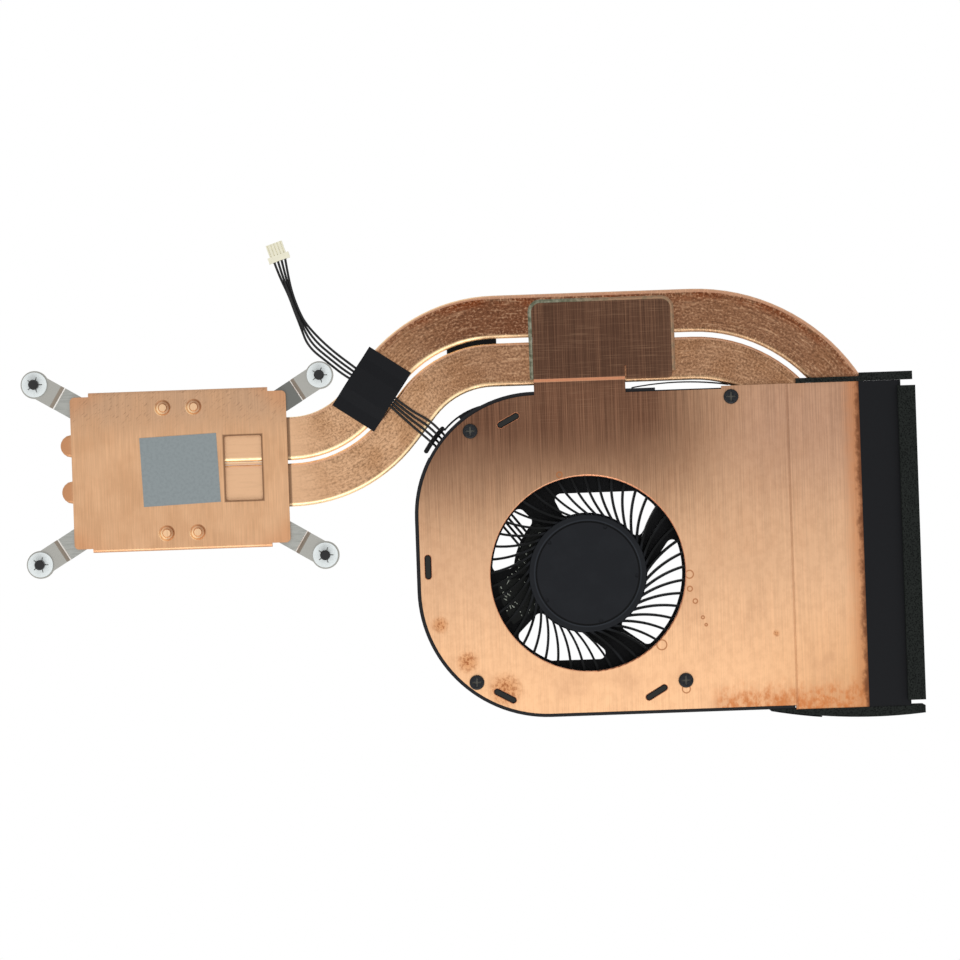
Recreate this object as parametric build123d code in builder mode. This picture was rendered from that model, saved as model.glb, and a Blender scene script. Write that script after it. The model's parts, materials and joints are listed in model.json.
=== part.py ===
from build123d import *
import os
from math import atan2, cos, degrees, pi, radians, sin, sqrt, tan

os.makedirs("parts", exist_ok=True)

# Sizes are in millimetres. The origin is the middle of the processor contact,
# +Z points at the processor, +X runs along the part and +Y across it.

# Processor contact and captive screws
paste_length = 15.4
paste_width = 13.8
paste_thickness = 0.1
paste_turn = 2.0
screw_pitch_x = 57.0
screw_pitch_y = 36.0
stud_r = 1.0
stud_reach = 2.4
stud_gap = 0.2
neck_r = 0.8
screw_head_r = 2.2
screw_head = 1.2
screw_play = 0.1
cross_width = 0.5
cross_length = 2.4
cross_depth = 0.6
retainer_r = 2.5
retainer_thickness = 0.5
retainer_grip = 0.02
slit_count = 5
slit_width = 0.2
slit_reach = 1.6

# Spring brackets
bracket_sheet = 0.8
bracket_width = 4.8
bracket_lift = 0.8
pad_r = 2.8
joggle_from_screw = 4.7
joggle_run = 1.0
bracket_bend_setback = 2.1

# Cold plate
plate_sheet = 0.8
plate_arm_gap = 1.2
plate_corner_r = 0.9
flange_setback = 3.7
flange_depth = 1.2
flange_bend_r = 0.6
bracket_flange_gap = 0.25
bracket_pipe_gap = 0.3
window_length = 7.4
window_width = 12.9
window_paste_gap = 1.3
window_corner_r = 0.5
stake_r = 1.2
stake_play = 0.05
stake_pitch = 6.2
stake_head_r = 1.7
stake_head = 0.25
dimple_r = 1.6
dimple_core_r = 0.9
dimple_wall = 0.35
dimple_depth = 0.35

# Heat pipes
pipe_width = 8.65
pipe_thickness = 1.5
plate_pipe_gap = 0.65
run_pipe_gap = 0.95
pipe_pair_y = 0.875
pipe_rise = 22.6
pipe_slope = 51.0
pipe_lead = 0.9
first_bend_r = 27.6
second_bend_r = 19.2
last_bend_r = 25.65
tip_shoulder = 3.2
tip_overhang = 2.3
tip_width = 4.6
tip_thickness = 1.3
tip_steps = (0, 0.45, 0.75, 0.92, 0.99)
pipe_solder_play = 0.03
pipe_end_setback = 6.5

# Impeller and the scroll round it
impeller_r = 25.5
tip_gap = 1.0
scroll_growth = 0.039
tongue_angle = -62.0
tongue_lead = 18.0
scroll_sweep = 208.0
left_wall = 3.14
top_wall = 2.1
wall_step = 0.5
wall_step_from_fan = 14.7
bottom_wall = 0.9
lower_corner_r = 26.0
upper_corner_r = 24.5
fan_from_bend = 17.72
pipe_frame_gap = 1.3
outlet_gap = 15.5
tongue_run = 28.0
intake_r = 19.5
blade_count = 45
blade_thickness = 0.45
blade_floor_gap = 0.9
blade_cover_gap = 0.8
blade_elbow_r = 19.6
blade_lean = 18.1
blade_root_lean = -4.5
blade_bow_r = 16.1
blade_bow_lean = 14.4

# Air openings in the base
opening_hub_gap = 0.35
wire_opening_hub_gap = 3.1
opening_rim = 0.35
upper_opening_flat = 3.4
lower_opening_flat = 2.0
opening_corner_r = 1.2
opening_corner_share = 0.31
pit_marks = ((27.6, 0.5), (-75, 1.0))
pit_r = 0.7
pit_depth = 0.3

# Fan heights
cover_sheet = 0.4
cover_joggle = 0.4
crease_run = 0.5
fan_height = 6.1
floor_thickness = 0.8

# Fan motor
shaft_r = 0.75
bearing_play = 0.05
sleeve_wall = 1.3
holder_wall = 0.65
press_play = 0.02
boss_play = 0.2
thrust_thickness = 0.25
stator_r = 8.0
stator_height = 1.5
stator_floor_gap = 1.1
pole_count = 6
pole_width = 1.6
pole_slot = 1.4
shoe_depth = 1.0
core_ring = 1.4
coil_build = 0.75
coil_end_gap = 0.15
air_gap = 0.3
magnet_wall = 1.3
yoke_wall = 0.4
hub_wall = 1.73
hub_cap = 0.6
hub_recess = 0.3
hub_groove_out = 0.5
hub_groove_width = 0.35
hub_groove_depth = 0.25
hub_notch_count = 5
hub_notch_turn = -4.5
hub_notch_r = 0.4
hub_boss_r = 1.8
hub_boss = 0.8
board_thickness = 0.4
board_play = 0.3
board_tabs = ((198.0, 34.0, 6.4, 21.0, 4), (156.0, 50.0, 2.4, 40.0, 7))
board_tab_taper = 4.0
chip_length = 1.5
chip_width = 0.9
chip_height = 0.3

# Cover outline, ear and fastenings
cover_rim = 0.75
cover_low_rim = 0.7
ear_offset = 0.2
ear_length = 27.8
ear_top_margin = 1.85
neck_length = 18.3
ear_fold_margin = 0.6
ear_corner_r = 1.8
ear_slit = 0.3
ear_slit_depth = 2.2
step_from_fan = 27.9
tab_marks = ((115.6, 0.9, 28), (175.8, 0.75, 90), (-126, 0.6, -29), (-62, 1.0, 30))
tab_length = 4.5
tab_width = 0.9
tab_slot_play = 0.15
tab_recess = 0.05
slot_chamfer = 0.15
intake_lip_r = 0.3
cover_screw_marks = ((127.7, 3.8), (-137.5, 1.7), (-49.5, 2.5))
outlet_post_run = 3.3
outlet_post_drop = 2.35
cover_screw_r = 0.7
cover_screw_play = 0.05
cover_screw_head_r = 1.5
cover_screw_head = 0.6
cover_screw_length = 3.2
cover_cross_length = 1.9
cover_cross_width = 0.35
cover_cross_depth = 0.4
cover_hole_r = 0.95
post_r = 2.0

# Wire clip and the channel under the base
clip_foot = 115.0
clip_start = 127.0
clip_rise = 136.0
clip_end = 148.5
clip_margin = 2.0
clip_recess = 0.1
clip_gap = 0.75
clip_slit = 0.5
clip_rail = 0.35
clip_lump = 0.9
clip_height = 2.4
clip_lane_angle = 140.8
wire_r = 0.25
wire_count = 4
wire_lane = 0.95
wire_clearance = 0.1
wire_stack_gap = 0.05
channel_depth = 0.6
channel_margin = 0.6
channel_angle = 162.0

# Fins, film and foam at the outlet
fin_pitch = 1.15
fin_sheet = 0.2
fin_front_margin = 2.75
fin_back_margin = 1.8
fin_end_inset = 0.4
fin_low_inset = 0.1
outlet_seam = 0.2
pipe_notch_gap = 0.3
cover_fin_lap = 0.25
film_width = 8.4
film_thickness = 0.1
film_gap = 0.1
foam_width = 3.5
foam_lap = 0.7
foam_thickness = 1.2
foam_end_inset = 0.9
foam_seam = 0.02
end_foam_width = 1.7
end_foam_reach = 2.4
end_foam_rise = 0.1
strip_width = 1.0
strip_lead = 5.2
strip_setback = 2.15
lower_foam_lead = 5.2
lower_foam_start = 0.1
lower_foam_bow = 1.85
lower_foam_end = 1.5
side_film_thickness = 0.2
upper_film_from_fan = 10.2
upper_film_length = 19.5
upper_film_bow = 0.8
lower_film_share = 0.33

# Tape and solder
tape_width = 9.9
tape_length = 13.9
tape_thickness = 0.12
tape_slope = 2.2
tape_skew = 4.7
tape_shift_x = -3.8
tape_shift_y = 2.6
rear_tape_length = 10.0
rear_tape_width = 14.0
rear_tape_setback = 4.0
solder_width = 0.7
solder_height = 0.3
solder_gap = 0.02

# Connector
connector_turn = 18.0
connector_width = 3.4
connector_length = 3.7
connector_height = 1.6
connector_ear = 0.5
connector_ear_length = 1.2
contact_pitch = 0.8
contact_width = 0.35
contact_length = 1.8
contact_thickness = 0.3
cavity_width = 0.5
cavity_height = 0.6
cavity_length = 2.4
wire_hole_r = 0.33
wire_hole_depth = 0.9
rib_count = 5
rib_groove = 0.22
rib_depth = 0.2

# Levels, from the contact face down to the back of the fan
plate_top = -paste_thickness
pipe_top = plate_top - plate_sheet
pipe_bottom = pipe_top - pipe_thickness
ear_top = pipe_top + cover_sheet
cover_bottom = pipe_top + cover_joggle
cover_top = cover_bottom + cover_sheet
floor_bottom = cover_top - fan_height
floor_top = floor_bottom + floor_thickness
pad_top = pipe_top + bracket_lift
pad_bottom = pad_top - bracket_sheet

# Pipe lines: the plate run, the top run and the run over the fins
plate_spacing = pipe_width + plate_pipe_gap
run_spacing = pipe_width + run_pipe_gap
outer_plate_y = pipe_pair_y + plate_spacing / 2
inner_plate_y = pipe_pair_y - plate_spacing / 2
inner_run_y = inner_plate_y + pipe_rise
outer_run_y = inner_run_y + run_spacing
half_turn = tan(radians(pipe_slope / 2))

# Plate and brackets, built out from the screws and from the pipes
plate_length = screw_pitch_x - 2 * (joggle_from_screw + joggle_run + plate_arm_gap)
pipe_pair_edge = outer_plate_y + pipe_width / 2
bar_y = pipe_pair_edge + bracket_pipe_gap + bracket_width / 2
flange_y = bar_y + bracket_width / 2 + bracket_flange_gap
flange_length = plate_length - 2 * flange_setback
window_x = paste_length / 2 + window_paste_gap + window_length / 2
bend_x = plate_length / 2 - bracket_bend_setback
screw_places = [(sx * screw_pitch_x / 2, sy * screw_pitch_y / 2) for sy in (1, -1) for sx in (-1, 1)]

# Fan centre, hung from the end of the pipes' S-bend
bend_start_x = plate_length / 2 + pipe_lead
bend_end_x = (
    bend_start_x + (first_bend_r + second_bend_r) * half_turn + pipe_rise / tan(radians(pipe_slope))
)
scroll_r = impeller_r + tip_gap
fan_x = bend_end_x + fan_from_bend
frame_top_y = inner_run_y - pipe_width / 2 - pipe_frame_gap
fan_y = frame_top_y - (scroll_r + scroll_growth * scroll_sweep) - top_wall


def scroll_radius(angle):
    """Radius of the scroll wall at an angle about the fan, growing clockwise from the tongue."""
    turn = (tongue_angle - angle) % 360
    return scroll_r + scroll_growth * (turn if turn <= scroll_sweep else 0)


def at_fan(angle, radius):
    """Point at an angle and a radius from the fan's axis."""
    return (fan_x + radius * cos(radians(angle)), fan_y + radius * sin(radians(angle)))


frame_left = fan_x - scroll_radius(180) - left_wall
frame_bottom_y = fan_y - scroll_radius(-90) - bottom_wall
corner_x = frame_left + upper_corner_r
corner_y = frame_top_y - upper_corner_r
fin_start_x = fan_x + impeller_r + outlet_gap
inner_end_x = fin_start_x + fin_front_margin + pipe_width / 2
outer_end_x = inner_end_x + run_spacing
fin_end_x = outer_end_x + pipe_width / 2 + fin_back_margin
fin_top_y = frame_top_y - fin_end_inset
fin_bottom_y = frame_bottom_y + fin_low_inset
frame_right = fin_start_x - crease_run / 2 - outlet_seam
pipe_end_y = fin_bottom_y + pipe_end_setback
cover_high_y = fin_top_y + cover_fin_lap
cover_low_y = fin_bottom_y - cover_fin_lap

# Motor radii, from the shaft outwards
sleeve_in_r = shaft_r + bearing_play
sleeve_r = sleeve_in_r + sleeve_wall
holder_in_r = sleeve_r + press_play
holder_r = holder_in_r + holder_wall
core_in_r = holder_r + press_play
magnet_in_r = stator_r + air_gap
yoke_in_r = magnet_in_r + magnet_wall + press_play
yoke_r = yoke_in_r + yoke_wall
hub_in_r = yoke_r + press_play
hub_r = hub_in_r + hub_wall

# Motor levels
board_top = floor_top + board_thickness
stator_bottom = floor_top + stator_floor_gap
coil_rise = stator_bottom - board_top - coil_end_gap
hub_top = cover_bottom - hub_recess
hub_under = hub_top - hub_cap
hub_boss_under = hub_under - hub_boss
holder_top = hub_boss_under - boss_play
thrust_top = floor_top + thrust_thickness
blade_bottom = floor_top + blade_floor_gap
blade_top = cover_bottom - blade_cover_gap

# Places on the cover, as an angle about the fan and a distance outside the scroll wall
screw_posts = [at_fan(angle, scroll_radius(angle) + out) for angle, out in cover_screw_marks]
screw_posts.append((fan_x + scroll_r + outlet_post_run, frame_top_y - outlet_post_drop))
tab_places = [(at_fan(angle, scroll_radius(angle) + out), turn) for angle, out, turn in tab_marks]


def frame_outline(rim, low_rim, right_x):
    """Draw the frame's edge from its lower right to its upper corner, set in by two rims."""
    low_y = frame_bottom_y + low_rim
    low_r = lower_corner_r - rim
    bottom = Line((right_x, low_y), (frame_left + rim + low_r, low_y))
    low_arc = JernArc(start=bottom @ 1, tangent=(-1, 0), radius=low_r, arc_size=-90)
    side = Line(low_arc @ 1, (frame_left + rim, corner_y))
    return JernArc(start=side @ 1, tangent=(0, 1), radius=upper_corner_r - rim, arc_size=-90)


def scroll_outline():
    """Draw the scroll: round the impeller, out along the spiral, then to the open outlet."""
    nose = at_fan(tongue_angle + tongue_lead, scroll_r)
    start = at_fan(tongue_angle, scroll_r)
    ThreePointArc(nose, at_fan(tongue_angle + tongue_lead / 2, scroll_r), start)
    step = scroll_sweep / 6
    angles = [tongue_angle - i * step for i in range(7)]
    places = [at_fan(a, scroll_r + scroll_growth * (tongue_angle - a)) for a in angles]
    for i in (0, 2, 4):
        ThreePointArc(places[i], places[i + 1], places[i + 2])
    end_x = frame_right + outlet_seam
    low_y = frame_bottom_y + bottom_wall
    roof_y = fan_y + scroll_radius(tongue_angle - scroll_sweep)
    Polyline(places[6], (end_x, roof_y), (end_x, low_y), (fan_x + tongue_run, low_y), nose)


def pipe_points(tip_x, plate_y, run_y, first_r, end_x):
    """Corners of one pipe: plate run, climb, top run, and the run down over the fins."""
    climb_x = bend_start_x + first_r * half_turn
    level_x = climb_x + (run_y - plate_y) / tan(radians(pipe_slope))
    return [(tip_x, plate_y), (climb_x, plate_y), (level_x, run_y), (end_x, run_y), (end_x, pipe_end_y)]


pipe_mid = (pipe_top + pipe_bottom) / 2
taper_x = -plate_length / 2 + tip_shoulder

# Pinched end of a pipe: how far each section stands out, its width and its thickness
pinch_sections = [(0, pipe_width, pipe_thickness)]
for step in tip_steps:
    share = sqrt(1 - step**2)
    pinch_sections.append((tip_shoulder + step * tip_overhang, share * tip_width, share * tip_thickness))

with BuildPart() as thermal_paste:
    with BuildSketch(Plane.XY.offset(plate_top)):
        Rectangle(paste_length, paste_width, rotation=paste_turn)
    extrude(amount=paste_thickness)
thermal_paste.part.label = "thermal_paste"
export_step(thermal_paste.part, "parts/thermal_paste.step")

with BuildPart() as cold_plate:
    with BuildSketch(Plane.XY.offset(pipe_top)):
        RectangleRounded(plate_length, 2 * flange_y, plate_corner_r)
        with Locations((window_x, 0)):
            RectangleRounded(window_length, window_width, window_corner_r, mode=Mode.SUBTRACT)
    extrude(amount=plate_sheet)
    # Folded edges
    with BuildSketch(Plane.XY.offset(pipe_top - flange_depth)):
        with GridLocations(0, 2 * flange_y + plate_sheet, 1, 2):
            Rectangle(flange_length, plate_sheet)
    extrude(amount=plate_sheet + flange_depth)
    rim_edges = edges().filter_by(Axis.X).group_by(Axis.Z)[-1]
    fillet(rim_edges.filter_by(lambda e: abs(e.center().Y) > flange_y + plate_sheet / 2), flange_bend_r)
    # Staked dimples: a ring pressed in from the front, a headed stud behind
    level_top = (Align.CENTER, Align.CENTER, Align.MAX)
    with Locations(Plane.XY.offset(plate_top)):
        with GridLocations(stake_pitch, 2 * bar_y, 2, 2):
            Cone(dimple_r - dimple_wall, dimple_r, dimple_depth, align=level_top, mode=Mode.SUBTRACT)
            Cone(dimple_core_r, dimple_core_r - dimple_wall / 2, dimple_depth, align=level_top)
    with BuildSketch(Plane.XY.offset(pipe_top)):
        with GridLocations(stake_pitch, 2 * bar_y, 2, 2):
            Circle(stake_r)
    extrude(amount=-bracket_sheet - stake_head)
    with BuildSketch(Plane.XY.offset(pipe_top - bracket_sheet)):
        with GridLocations(stake_pitch, 2 * bar_y, 2, 2):
            Circle(stake_head_r)
    extrude(amount=-stake_head)
cold_plate.part.label = "cold_plate"
export_step(cold_plate.part, "parts/cold_plate.step")

# Heat pipes
pipe_specs = {
    "outer_heat_pipe": (outer_plate_y, outer_run_y, outer_end_x, -1),
    "inner_heat_pipe": (inner_plate_y, inner_run_y, inner_end_x, 0),
}
for name, (plate_y, run_y, end_x, lane) in pipe_specs.items():
    first_r = first_bend_r + lane * plate_spacing
    bend_radii = [first_r, second_bend_r - lane * run_spacing, last_bend_r - lane * run_spacing]
    corners = pipe_points(taper_x, plate_y, run_y, first_r, end_x)
    with BuildPart() as heat_pipe:
        with BuildLine(Plane.XY.offset(pipe_mid)) as pipe_route:
            FilletPolyline(*corners, radius=bend_radii)
        with BuildSketch(Plane((taper_x, plate_y, pipe_mid), x_dir=(0, 1, 0), z_dir=(1, 0, 0))):
            SlotOverall(pipe_width, pipe_thickness)
        sweep(path=pipe_route.line)
        plate_end = Plane((taper_x, plate_y, pipe_mid), x_dir=(0, 1, 0), z_dir=(-1, 0, 0))
        fin_end = Plane((end_x, pipe_end_y, pipe_mid), x_dir=(1, 0, 0), z_dir=(0, -1, 0))
        for pipe_end in (plate_end, fin_end):
            for reach, width, thickness in pinch_sections:
                with BuildSketch(pipe_end.offset(reach)):
                    SlotOverall(width, thickness)
            loft(ruled=True)
    heat_pipe.part.label = name
    export_step(heat_pipe.part, f"parts/{name}.step")

# Solder that fills the gap between the pipes behind the plate
with BuildPart() as pipe_solder:
    with BuildSketch(Plane((0, pipe_pair_y, pipe_mid - pipe_thickness / 4))):
        Rectangle(plate_length - 2 * tip_shoulder, plate_pipe_gap - 2 * pipe_solder_play)
    extrude(amount=pipe_thickness / 2)
pipe_solder.part.label = "pipe_solder"
export_step(pipe_solder.part, "parts/pipe_solder.step")

# Spring brackets: a bar behind the plate, an arm to each screw, a raised pad
for name, side in (("upper_spring_bracket", 1), ("lower_spring_bracket", -1)):
    with BuildPart() as spring_bracket:
        with BuildSketch(Plane.XY.offset(pipe_top - bracket_sheet)):
            with Locations((0, side * bar_y)):
                Rectangle(2 * bend_x, bracket_width)
            with Locations((bend_x, side * bar_y), (-bend_x, side * bar_y)):
                Circle(bracket_width / 2)
        extrude(amount=bracket_sheet)
        for hand in (1, -1):
            pad = Vector(hand * screw_pitch_x / 2, side * screw_pitch_y / 2, 0)
            inward = Vector(hand * bend_x, side * bar_y, 0) - pad
            across = Plane(pad, x_dir=inward, z_dir=inward.cross(Vector(0, 0, 1)))
            low = pipe_top - bracket_sheet
            with BuildSketch(across):
                with BuildLine():
                    Polyline(
                        (0, pad_bottom),
                        (joggle_from_screw, pad_bottom),
                        (joggle_from_screw + joggle_run, low),
                        (inward.length, low),
                        (inward.length, low + bracket_sheet),
                        (joggle_from_screw + joggle_run, low + bracket_sheet),
                        (joggle_from_screw, pad_top),
                        (0, pad_top),
                        close=True,
                    )
                make_face()
            extrude(amount=bracket_width / 2, both=True)
            with BuildSketch(Plane.XY.offset(pad_bottom)):
                with Locations((pad.X, pad.Y)):
                    Circle(pad_r)
            extrude(amount=bracket_sheet)
            with BuildSketch(Plane.XY.offset(pad_bottom)):
                with Locations((pad.X, pad.Y)):
                    Circle(stud_r + screw_play)
            extrude(amount=bracket_sheet, mode=Mode.SUBTRACT)
        with BuildSketch(Plane.XY.offset(pipe_top - bracket_sheet)):
            with Locations((0, side * bar_y)):
                with GridLocations(stake_pitch, 0, 2, 1):
                    Circle(stake_r + stake_play)
        extrude(amount=bracket_sheet, mode=Mode.SUBTRACT)
    spring_bracket.part.label = name
    export_step(spring_bracket.part, f"parts/{name}.step")

# Captive screws and their slit retainers
for number, (x, y) in enumerate(screw_places, start=1):
    head_top = pad_bottom - screw_play
    stud_start = pad_top + screw_play + retainer_thickness + stud_gap
    with BuildPart() as cpu_screw:
        with BuildSketch(Plane((x, y, head_top))):
            Circle(screw_head_r)
        extrude(amount=-screw_head)
        fillet(edges().filter_by(GeomType.CIRCLE).group_by(Axis.Z)[0], screw_head / 4)
        # Thin neck in the bracket and the retainer, then the threaded end
        with BuildSketch(Plane((x, y, head_top))):
            Circle(neck_r)
        extrude(amount=stud_start - head_top)
        with BuildSketch(Plane((x, y, stud_start))):
            Circle(stud_r)
        extrude(amount=stud_reach - stud_start)
        chamfer(edges().filter_by(GeomType.CIRCLE).group_by(Axis.Z)[-1], stud_r / 4)
        with BuildSketch(Plane((x, y, head_top - screw_head))):
            Rectangle(cross_length, cross_width)
            Rectangle(cross_width, cross_length)
        extrude(amount=cross_depth, mode=Mode.SUBTRACT)
    cpu_screw.part.label = f"cpu_screw_{number}"
    export_step(cpu_screw.part, f"parts/cpu_screw_{number}.step")

    with BuildPart() as screw_retainer:
        with BuildSketch(Plane((x, y, pad_top + screw_play))):
            Circle(retainer_r)
            Circle(neck_r + retainer_grip, mode=Mode.SUBTRACT)
            with PolarLocations(slit_reach / 2, slit_count):
                Rectangle(slit_reach, slit_width, mode=Mode.SUBTRACT)
        extrude(amount=retainer_thickness)
    screw_retainer.part.label = f"screw_retainer_{number}"
    export_step(screw_retainer.part, f"parts/screw_retainer_{number}.step")

# Fan cover: main sheet, ear over the pipes, and the lowered edge over the fins
ear_left = corner_x + ear_offset
neck_right = ear_left + neck_length
ear_right = ear_left + ear_length
fold_y = inner_run_y - pipe_width / 2 + ear_fold_margin
ear_low_y = fold_y + crease_run
ear_high_y = outer_run_y + pipe_width / 2 - ear_top_margin
crease_start = fin_start_x - crease_run / 2
crease_end = fin_start_x + crease_run / 2
step_x = fan_x + step_from_fan
with BuildPart() as fan_cover:
    with BuildSketch(Plane.XY.offset(cover_bottom)):
        with BuildLine():
            upper_arc = frame_outline(cover_rim, cover_low_rim, crease_start)
            high_y = (upper_arc @ 1).Y
            Polyline(
                upper_arc @ 1,
                (ear_left, high_y),
                (ear_left, fold_y),
                (neck_right, fold_y),
                (neck_right, high_y),
                (step_x, high_y),
                (step_x, cover_high_y),
                (crease_start, cover_high_y),
                (crease_start, frame_bottom_y + cover_low_rim),
            )
        make_face()
    extrude(amount=cover_sheet)
    with BuildSketch(Plane.XZ.offset(-cover_high_y)):
        with BuildLine():
            Polyline(
                (crease_start, cover_bottom),
                (crease_end, pipe_top),
                (fin_end_x, pipe_top),
                (fin_end_x, ear_top),
                (crease_end, ear_top),
                (crease_start, cover_top),
                close=True,
            )
        make_face()
    extrude(amount=cover_high_y - cover_low_y)
    with BuildSketch(Plane.YZ.offset(ear_left)):
        with BuildLine():
            Polyline(
                (fold_y, cover_bottom),
                (ear_low_y, pipe_top),
                (ear_low_y, ear_top),
                (fold_y, cover_top),
                close=True,
            )
        make_face()
    extrude(amount=neck_length)
    with BuildSketch(Plane.XY.offset(pipe_top)) as ear:
        with Locations(((ear_left + ear_right) / 2, (ear_low_y + ear_high_y) / 2)):
            Rectangle(ear_length, ear_high_y - ear_low_y)
        with Locations(((neck_right + ear_right) / 2, (fold_y + ear_low_y) / 2)):
            Rectangle(ear_right - neck_right, ear_low_y - fold_y)
        fillet(ear.vertices().group_by(Axis.Y)[-1], ear_corner_r)
        fillet(ear.vertices().group_by(Axis.Y)[0].sort_by(Axis.X)[-1], ear_corner_r / 2)
        with Locations((neck_right + ear_slit / 2, fold_y)):
            Rectangle(ear_slit, 2 * (crease_run + ear_slit_depth), mode=Mode.SUBTRACT)
    extrude(amount=cover_sheet)
    # Air intake, screw holes and tab slots
    with BuildSketch(Plane.XY.offset(cover_bottom)):
        with Locations((fan_x, fan_y)):
            Circle(intake_r)
        with Locations(*screw_posts):
            Circle(cover_hole_r)
        for place, turn in tab_places:
            with Locations(Location((*place, 0), (0, 0, turn))):
                SlotOverall(tab_length + 2 * tab_slot_play, tab_width + 2 * tab_slot_play)
    extrude(amount=cover_sheet, mode=Mode.SUBTRACT)
    intake_rim = edges().filter_by(GeomType.CIRCLE).filter_by(lambda e: e.arc_center.Z > cover_bottom)
    fillet(intake_rim.filter_by(lambda e: abs(e.radius - intake_r) < cover_sheet), intake_lip_r)
    slot_reach = tab_length / 2 + 2 * tab_slot_play
    for place, turn in tab_places:
        slot_middle = Vector(*place, cover_top)
        top_edges = edges().group_by(Axis.Z)[-1]
        chamfer(top_edges.filter_by(lambda e: (e.center() - slot_middle).length < slot_reach), slot_chamfer)
fan_cover.part.label = "fan_cover"
export_step(fan_cover.part, "parts/fan_cover.step")

# Solder bead round three edges of the ear
bead_left = ear_left - solder_gap
bead_right = ear_right + solder_gap
bead_high_y = ear_high_y + solder_gap
with BuildPart() as ear_solder:
    with BuildLine(Plane.XY.offset(pipe_top)) as bead_path:
        FilletPolyline(
            (bead_left, ear_low_y),
            (bead_left, bead_high_y),
            (bead_right, bead_high_y),
            (bead_right, ear_low_y + ear_corner_r / 2),
            radius=ear_corner_r + solder_gap,
        )
    with BuildSketch(Plane((bead_left, ear_low_y, pipe_top), x_dir=(-1, 0, 0), z_dir=(0, 1, 0))):
        with BuildLine():
            Polyline(
                (0, 0), (solder_width, 0), (solder_width / 2, solder_height), (0, solder_height), close=True
            )
        make_face()
    sweep(path=bead_path.line)
ear_solder.part.label = "ear_solder"
export_step(ear_solder.part, "parts/ear_solder.step")

# Wire channel on the back of the frame, from the motor to the clip
clip_floor_r = upper_corner_r - clip_recess
clip_mid = clip_floor_r + clip_gap / 2
rail_r = clip_floor_r + clip_slit + clip_rail / 2
lump_r = clip_floor_r + clip_gap + clip_lump / 2
lane_angle = degrees(wire_lane / clip_mid)
first_lane = clip_lane_angle - (wire_count - 1) / 2 * lane_angle


def clip_lane(number):
    """Place of one wire in the clip's slot."""
    angle = radians(first_lane + number * lane_angle)
    return (corner_x + clip_mid * cos(angle), corner_y + clip_mid * sin(angle))


clip_centre = (Vector(*clip_lane(0)) + Vector(*clip_lane(wire_count - 1))) / 2
channel_end = Vector(*at_fan(channel_angle, hub_r - 2 * wire_lane))
channel_run = clip_centre - channel_end
channel_turn = degrees(atan2(channel_run.Y, channel_run.X))
channel_width = wire_count * wire_lane + channel_margin
channel_side = channel_run.normalized().rotate(Axis.Z, 90)

# Air openings in the base: inner angles, outer angles, inner and outer radius, flat side
ring_r = hub_r + opening_hub_gap
wide_ring_r = hub_r + wire_opening_hub_gap
near_r = intake_r - opening_rim
base_openings = [
    (31, 111, 41, 113, ring_r, near_r, intake_r - upper_opening_flat),
    (-62, -2, -52, 23, ring_r, near_r, intake_r),
    (-143, -95, -140, -72, ring_r, near_r, intake_r - lower_opening_flat),
    (134, 174, 134, 179, wide_ring_r, near_r, intake_r),
]

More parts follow.
